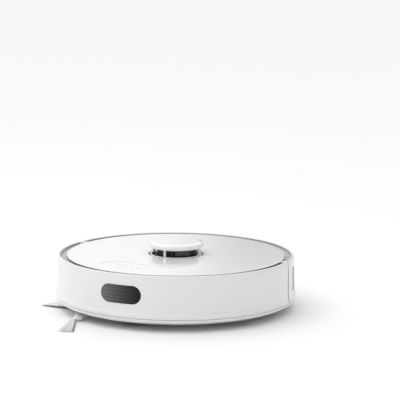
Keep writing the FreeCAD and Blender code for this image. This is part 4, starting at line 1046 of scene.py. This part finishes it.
class VACUUM_OT_drive_wheels(bpy.types.Operator):
    """Model both drive wheels: treaded tyres, spoked hubs and the swinging gear cases"""
    bl_idname = "vacuum.drive_wheels"
    bl_label = "Drive Wheels"

    def execute(self, context):
        for side, sign in (("left", 1), ("right", -1)):
            tyre = side + "_tyre"
            axis = across_axis(tyre)
            across = middle(tyre).x
            radius = (high(tyre).z - low(tyre).z) / 2
            self.tyre(side, across, axis, radius)
            self.hub(side, sign, across, axis, radius - 5 * MM)
            arm = softened(side + "_wheel_arm", 0.6 * MM)
            mount(arm, side + "_arm", "plastic_grey", side + "_wheel_arm")
        return {"FINISHED"}

    def tyre(self, side, across, axis, radius):
        """A tyre whose tread blocks are drawn out of a plain band in two staggered rows."""
        blocks = looks().tread_blocks
        outer = radius / MM - 1.6
        inner = radius / MM - 5.0
        band = lathe(side + "_tyre_tread", [(inner, -8.5, 0), (outer - 0.8, -8.5, 0), (outer, -7.6, 0), (outer, 0, 0),
                                            (outer, 7.6, 0), (outer - 0.8, 8.5, 0), (inner, 8.5, 0)],
                     blocks * 4, "X")
        edit(band)

        def is_block(place, item):
            turn = math.atan2(place.z, place.y) / math.tau * blocks * 4
            row = 0 if place.x < 0 else 2
            return place.yz.length > (outer - 0.4) * MM and (math.floor(turn) + row) % 4 in (0, 1, 2) \
                and abs(item.normal.x) < 0.2
        pick("FACE", is_block)
        bpy.ops.mesh.extrude_region_shrink_fatten(TRANSFORM_OT_shrink_fatten={"value": -1.5 * MM})
        bpy.ops.object.mode_set(mode="OBJECT")
        close_mesh(band)
        ease(band, 0.22 * MM, 2, 40)
        band.data.transform(Matrix.Translation((across, axis[0], axis[1])))
        mount(smooth(band), side + "_wheel", "rubber_black", side + "_tyre")

    def hub(self, side, sign, across, axis, radius):
        """A dished hub with five pockets between its spokes and a domed centre."""
        outer = radius / MM
        hub = lathe(side + "_hub_disc", [(0, -8.3, 0), (outer - 0.05, -8.3, 0.3), (outer - 0.05, 8.3, 0.3),
                                         (outer - 2.6, 8.3, 0.6), (outer - 3.6, 5.2, 0.8), (9, 4.6, 0.8),
                                         (8, 7.2, 0.8), (0, 7.6, 0)], 96, "X", closed=False)
        cutters = []
        for index in range(5):
            deselect()
            bpy.ops.mesh.primitive_cylinder_add(vertices=24, radius=4.4 * MM, depth=8 * MM,
                                                location=(6.6 * MM, 0, 16.6 * MM), rotation=(0, math.pi / 2, 0))
            pocket = settle(added("pocket"))
            pocket.data.transform(Matrix.Rotation(index * math.tau / 5, 4, "X"))
            cutters.append(pocket)
        carve(hub, *cutters)
        ease(hub, 0.25 * MM, 2, 50)
        shaft = lathe("hub_shaft", [(0, -19, 0), (4, -19, 0.4), (4, -8, 0), (0, -8, 0)], 32, "X", closed=False)
        hub = combine(side + "_wheel_disc", [hub, shaft])
        if sign < 0:
            hub.data.transform(Matrix.Rotation(math.pi, 4, "Z"))
        hub.data.transform(Matrix.Translation((across, axis[0], axis[1])))
        mount(smooth(hub), side + "_wheel", "plastic_grey", side + "_wheel_hub")


class VACUUM_OT_caster(bpy.types.Operator):
    """Model the front caster: its domed swivel plate, fork and crowned roller"""
    bl_idname = "vacuum.caster"
    bl_label = "Caster"

    def execute(self, context):
        axis = across_axis("caster_wheel")
        radius = (high("caster_wheel").z - low("caster_wheel").z) / 2 / MM
        roller = lathe("caster_roller_wheel", [(0, -10.5, 0), (2, -10.5, 0.2), (2, -7.4, 0),
                                               (radius - 3.5, -7.4, 0.3),
                                               (radius - 2.6, -6.6, 0.3), (radius - 1.2, -6.8, 0.8),
                                               (radius, -3.5, 1.5),
                                               (radius, 3.5, 1.5), (radius - 1.2, 6.8, 0.8), (radius - 2.6, 6.6, 0.3),
                                               (radius - 3.5, 7.4, 0.3), (2, 7.4, 0), (2, 10.5, 0.2), (0, 10.5, 0)],
                       72, "X", axis, closed=False)
        mount(smooth(roller), "caster_roller", "plastic_black", "caster_wheel")
        mount(softened("caster_fork", 0.4 * MM), "caster_swivel", "plastic_grey", "caster_fork")
        mount(softened("caster_socket", 0.4 * MM), "chassis", "plastic_grey", "caster_socket")
        return {"FINISHED"}


# --- underside and drawer ----------------------------------------------------------

class VACUUM_OT_underside(bpy.types.Operator):
    """Finish the chassis pan, guard, door, sensors and screws seen from below"""
    bl_idname = "vacuum.underside"
    bl_label = "Underside"

    def execute(self, context):
        pan = softened("base_chassis", 0, "chassis_pan")
        carve(pan, *self.sound_slots())
        ease(pan, 0.35 * MM, 2, 40)
        # the pan's dark grey is partly its colour and partly painted shade: its chamfer, which shows below the white
        # skirt, is dark to merge with the contact shadow on the floor
        mount(smooth(pan), "chassis", "chassis_grey", "base_chassis")
        skirt = lathe("chassis_skirt", [(170.5, 14.6, 0), (173.3, 14.6, 0.3), (173.75, 15.3, 0.3),
                                        (173.75, 17.5, 0.3), (173.2, 17.9, 0.2), (170.5, 17.9, 0)], ROUND)
        mount(smooth(skirt), "chassis", "shell_white")
        self.guard()
        self.door()
        mount(softened("cliff_sensors", 0.3 * MM), "chassis", "window_black", "cliff_sensors")
        mount(self.screws(), "chassis", "steel_zinc", "case_screws")
        mount(self.pads(), "chassis", "rubber_black")
        return {"FINISHED"}

    def sound_slots(self):
        """Short slots under the loudspeaker."""
        speaker = middle("speaker")
        slots = []
        for row in range(-3, 4):
            half = math.sqrt((15 * MM) ** 2 - (row * 4 * MM) ** 2)
            slots.append(pill("sound_slot", half, 1.5 * MM, FLOOR_LOW - MM, FLOOR_LOW + 1.8 * MM,
                              (speaker.x, speaker.y + row * 4 * MM), segments=6))
        return slots

    def guard(self):
        """The brush guard with its two release tabs."""
        guard = softened("brush_guard", 0.35 * MM, "brush_guard_frame")
        mount(guard, "guard", "plastic_black", "brush_guard")
        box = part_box("brush_guard")
        tabs = []
        for side in (-1, 1):
            tab = pill("guard_tab", 7 * MM, 4.6 * MM, box[0].z - 0.5 * MM, box[0].z + 0.6 * MM,
                       (side * 55 * MM, box[0].y + 3.2 * MM), segments=8)
            edit(tab)
            pick("FACE", lambda place, item: item.normal.z < -0.9)
            bpy.ops.mesh.inset(thickness=0.8 * MM)
            bpy.ops.mesh.extrude_region_move(TRANSFORM_OT_translate={"value": (0, 0, 0.35 * MM)})
            bpy.ops.object.mode_set(mode="OBJECT")
            tabs.append(ease(tab, 0.15 * MM, 2, 40))
        mount(smooth(combine("guard_tabs", tabs)), "guard", "ring_silver", slot="silver_trim")

    def door(self):
        """The battery door with a finger recess and two screw wells."""
        door = softened("battery_door", 0, "battery_hatch")
        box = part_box("battery_door")
        centre = middle("battery_door")
        grips = [pill("grip", 11 * MM, 7 * MM, box[0].z - MM, box[0].z + 1.1 * MM, (centre.x, centre.y), segments=10)]
        for side in (-1, 1):
            grips.append(pill("well", 3.2 * MM, 6.4 * MM - 1e-5, box[0].z - MM, box[0].z + 1.2 * MM,
                              (centre.x + side * DOOR_SCREW, centre.y), segments=10))
        carve(door, *grips)
        ease(door, 0.3 * MM, 2, 40)
        mount(smooth(door), "chassis", "chassis_grey", "battery_door")
        heads = []
        for side in (-1, 1):
            place = Vector((centre.x + side * DOOR_SCREW, centre.y, box[0].z + 0.3 * MM))
            heads.append(self.screw_head(place, 2.6 * MM))
        mount(combine("hatch_screws", heads), "chassis", "steel_zinc")

    def screw_head(self, place, radius):
        """A low domed head, seen from below, with a cross recess."""
        size = radius / MM
        head = lathe("screw_head", [(0, 0, 0), (size * 0.7, 0.12, 0.3), (size, 0.7, 0.25), (size, 1.2, 0),
                                    (0, 1.2, 0)], 28, closed=False)
        cross = [block("cross", (-size * 0.62 * MM, -0.32 * MM, -MM), (size * 0.62 * MM, 0.32 * MM, 0.7 * MM)),
                 block("cross", (-0.32 * MM, -size * 0.62 * MM, -MM), (0.32 * MM, size * 0.62 * MM, 0.7 * MM))]
        carve(head, *cross)
        head.data.transform(Matrix.Translation(place))
        return smooth(head)

    def screws(self):
        """A cross-head screw in each hole round the pan."""
        radius = 158 * MM
        heads = []
        for angle in (-80, -42, 42, 80, 118, 150, 180, 210, 242):
            turn = math.radians(angle)
            place = Vector((radius * math.sin(turn), -radius * math.cos(turn), FLOOR_LOW + 0.3 * MM))
            heads.append(self.screw_head(place, 3.2 * MM))
        return combine("pan_screws", heads)

    def pads(self):
        """Four low glide pads that keep the pan off thresholds."""
        pads = []
        for angle in (-52, 52, 128, 232):
            turn = math.radians(angle)
            pad = pill("glide", 8 * MM, 3.4 * MM, FLOOR_LOW - 0.9 * MM, FLOOR_LOW + 0.2 * MM, (0, 0), segments=8)
            ease(pad, 0.4 * MM, 2, 40)
            pad.data.transform(Matrix.Translation((143 * MM * math.sin(turn), -143 * MM * math.cos(turn), 0))
                               @ Matrix.Rotation(turn, 4, "Z"))
            pads.append(pad)
        return smooth(combine("glide_pads", pads))


class VACUUM_OT_dust_drawer(bpy.types.Operator):
    """Finish the dust drawer: its box, lid, pleated filter and latch, and a white skin on its face"""
    bl_idname = "vacuum.dust_drawer"
    bl_label = "Dust Drawer"

    def execute(self, context):
        mount(softened("dust_box", 0.4 * MM), "dust_drawer", "smoked_plastic", "dust_box")
        mount(softened("dust_box_lid", 0.4 * MM), "dust_drawer", "smoked_plastic", "dust_box_lid")
        mount(softened("dust_filter", 0.2 * MM), "dust_drawer", "filter_paper", "dust_filter")
        mount(softened("dust_box_latch", 0.5 * MM), "drawer_latch", "shell_white", "dust_box_latch")
        self.face()
        return {"FINISHED"}

    def face(self):
        """A white skin on the drawer's face, flush with the rear shell."""
        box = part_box("dust_box")
        radius = BODY_RADIUS / MM
        skin = lathe("drawer_face", [(radius - 4.0, DRAWER_LOW, 0), (radius - 1.75, DRAWER_LOW, 0),
                                     (radius - 2.5, DRAWER_HIGH, 0),
                                     (radius - 4.0, DRAWER_HIGH, 0)], ROUND)
        frame_block = block("face_shape", (box[0].x, 0.1, DRAWER_LOW * MM), (box[1].x, 0.2, DRAWER_HIGH * MM))
        carve(skin, frame_block, operation="INTERSECT")
        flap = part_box("evac_flap")
        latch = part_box("dust_box_latch")
        carve(skin, block("port", (-17.2 * MM, 0.1, flap[0].z - 0.5 * MM), (17.2 * MM, 0.2, 50.2 * MM)),
              block("latch_bay", (latch[0].x - 0.35 * MM, 0.1, latch[0].z - 0.35 * MM),
                    (latch[1].x + 0.35 * MM, 0.2, latch[1].z + 0.35 * MM)))
        ease(skin, 0.3 * MM, 2, 50)
        mount(smooth(skin), "dust_drawer", "shell_white")


class VACUUM_OT_inner_parts(bpy.types.Operator):
    """Finish the parts inside: deck, boards, motors, springs, duct and housings"""
    bl_idname = "vacuum.inner_parts"
    bl_label = "Inner Parts"

    def execute(self, context):
        for finish, nodes in NODE_FINISH.items():
            for name in nodes:
                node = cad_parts[name]
                node.data.materials.clear()
                node.data.materials.append(finish_named(finish))
        self.speaker()
        return {"FINISHED"}

    def speaker(self):
        """A loudspeaker: rim, cone and dust cap facing the floor, magnet above."""
        centre = middle("speaker")
        base = low("speaker").z / MM
        top = high("speaker").z / MM
        body = lathe("loudspeaker", [(0, base + 2.0, 0), (4, base + 1.4, 1.0), (6, base + 3.4, 0.5),
                                     (15, base + 0.8, 0.5), (17, base + 1.6, 0.6), (18.9, base, 0.3),
                                     (18.9, base + 5.8, 0.4),
                                     (12, base + 6, 0.3), (12, top, 0.6), (0, top, 0)], 64,
                     centre=(centre.x, centre.y), closed=False)
        mount(smooth(body), "chassis", "plastic_black", "speaker")


# --- studio ------------------------------------------------------------------------

class VACUUM_OT_studio(bpy.types.Operator):
    """Set up the plain studio: floor, soft dome light, one softbox and the camera"""
    bl_idname = "vacuum.studio"
    bl_label = "Studio"

    def execute(self, context):
        self.floor()
        self.dome()
        self.softbox()
        self.camera()
        context.scene.view_settings.view_transform = "Standard"
        return {"FINISHED"}

    def floor(self):
        deselect()
        bpy.ops.mesh.primitive_plane_add(size=60, location=(0, 0, 0))
        floor = added("studio_floor")
        material = bpy.data.materials.new("studio_paper")
        material.use_nodes = True
        shader = material.node_tree.nodes["Principled BSDF"]
        shader.inputs["Base Color"].default_value = (*looks().floor_color, 1)
        shader.inputs["Roughness"].default_value = 0.9
        shader.inputs["Specular IOR Level"].default_value = 0.1
        floor.data.materials.append(material)

    def ramp(self, tree, source, start, end, first=0.0, last=1.0, soft=False):
        """Turn a value between start and end into one between first and last."""
        item = tree.nodes.new("ShaderNodeMapRange")
        item.interpolation_type = "SMOOTHSTEP" if soft else "LINEAR"
        for label, value in (("From Min", start), ("From Max", end), ("To Min", first), ("To Max", last)):
            item.inputs[label].default_value = value
        tree.links.new(source, item.inputs["Value"])
        return item.outputs["Result"]

    def along(self, tree, direction, axis):
        item = tree.nodes.new("ShaderNodeVectorMath")
        item.operation = "DOT_PRODUCT"
        item.inputs[1].default_value = axis
        tree.links.new(direction, item.inputs[0])
        return item.outputs["Value"]

    def dome(self):
        """Soft light from all round, strongest from above and weaker from the robot's left front."""
        world = bpy.data.worlds.new("studio_dome")
        bpy.context.scene.world = world
        world.use_nodes = True
        tree = world.node_tree
        direction = tree.nodes.new("ShaderNodeTexCoord")
        split = tree.nodes.new("ShaderNodeSeparateXYZ")
        tree.links.new(direction.outputs["Generated"], split.inputs[0])
        rise = self.ramp(tree, split.outputs["Z"], 0.0, 0.9, looks().horizon, looks().sky)
        side = self.along(tree, direction.outputs["Generated"], (0.95, 0.2, 0))
        dim = self.ramp(tree, side, -1.0, 1.0, 1.10, 0.58)
        lit = math_node(tree, "MULTIPLY", rise, dim)
        glow, flag = self.far_side(tree, direction.outputs["Generated"], split.outputs["Z"])
        open_sky = math_node(tree, "ADD", lit, glow)
        strength = math_node(tree, "MULTIPLY", open_sky, flag)
        tree.links.new(strength, tree.nodes["Background"].inputs["Strength"])
        tree.nodes["Background"].inputs["Color"].default_value = (1, 1, 1, 1)

    def far_side(self, tree, direction, height):
        """A pale backdrop behind the robot with a soft dark flag low on its left, for the cover to mirror."""
        turn = math.radians(26.4)
        across = self.along(tree, direction, (math.cos(turn), math.sin(turn), 0))
        ahead = self.along(tree, direction, (-math.sin(turn), math.cos(turn), 0))
        edges = [self.ramp(tree, source, start, end, soft=True)
                 for source, start, end in ((across, -0.02, 0.05), (across, 0.6, 0.3), (height, 0.25, 0.20),
                                            (ahead, 0.5, 0.85))]
        card = math_node(tree, "MULTIPLY", edges[0], edges[1])
        card = math_node(tree, "MULTIPLY", math_node(tree, "MULTIPLY", card, edges[2]), edges[3])
        return (math_node(tree, "MULTIPLY", edges[3], 0.42),
                math_node(tree, "SUBTRACT", 1.0, math_node(tree, "MULTIPLY", card, 0.88)))

    def softbox(self):
        light = bpy.data.lights.new("overhead_softbox", "AREA")
        light.shape = "RECTANGLE"
        light.size = 1.6
        light.size_y = 1.2
        light.energy = 6
        lamp = bpy.data.objects.new("overhead_softbox", light)
        bpy.context.scene.collection.objects.link(lamp)
        lamp.location = (-0.9, -0.6, 1.9)
        lamp.rotation_euler = (-lamp.location).to_track_quat("-Z", "Y").to_euler()

    def camera(self):
        """Stand 2.5 m off at the front left of the robot, a little above it, with a long lens."""
        azimuth, elevation, distance = math.radians(26.4), math.radians(12.72), 2.5
        place = distance * Vector((math.sin(azimuth) * math.cos(elevation), -math.cos(azimuth) * math.cos(elevation),
                                   math.sin(elevation)))
        camera = bpy.data.cameras.new("product_camera")
        camera.sensor_width = 36
        camera.lens = 153.05
        obj = bpy.data.objects.new("product_camera", camera)
        bpy.context.scene.collection.objects.link(obj)
        obj.location = place
        look = (-place).to_track_quat("-Z", "Y").to_matrix().to_4x4()
        tip = Matrix.Rotation(math.atan(0.06205), 4, "X")
        swing = Matrix.Rotation(-math.atan(0.0142), 4, "Y")
        roll = Matrix.Rotation(math.radians(0.27), 4, "Z")
        obj.matrix_world = Matrix.Translation(place) @ look @ roll @ swing @ tip
        bpy.context.scene.camera = obj


class VACUUM_PT_panel(bpy.types.Panel):
    """Buttons that build the looks piece by piece"""
    bl_label = "Robot Vacuum"
    bl_idname = "VACUUM_PT_panel"
    bl_space_type = "VIEW_3D"
    bl_region_type = "UI"
    bl_category = "Vacuum"

    def draw(self, context):
        settings = context.scene.vacuum_looks
        for name in settings.bl_rna.properties.keys():
            if name not in {"rna_type", "name"}:
                self.layout.prop(settings, name)
        for operator in OPERATORS:
            self.layout.operator(operator.bl_idname)


OPERATORS = (VACUUM_OT_front_bumper, VACUUM_OT_sensor_window, VACUUM_OT_rear_shell, VACUUM_OT_top_cover,
             VACUUM_OT_controls, VACUUM_OT_turret, VACUUM_OT_side_brush, VACUUM_OT_main_brush,
             VACUUM_OT_drive_wheels, VACUUM_OT_caster, VACUUM_OT_underside, VACUUM_OT_dust_drawer,
             VACUUM_OT_inner_parts, VACUUM_OT_studio)


def register():
    for cls in (VacuumLooks, *OPERATORS, VACUUM_PT_panel):
        bpy.utils.register_class(cls)
    bpy.types.Scene.vacuum_looks = bpy.props.PointerProperty(type=VacuumLooks)


def unregister():
    del bpy.types.Scene.vacuum_looks
    for cls in reversed((VacuumLooks, *OPERATORS, VACUUM_PT_panel)):
        bpy.utils.unregister_class(cls)


def main():
    register()
    for operator in OPERATORS:
        group, name = operator.bl_idname.split(".")
        getattr(getattr(bpy.ops, group), name)()
    deselect()


if __name__ == "__main__":
    main()
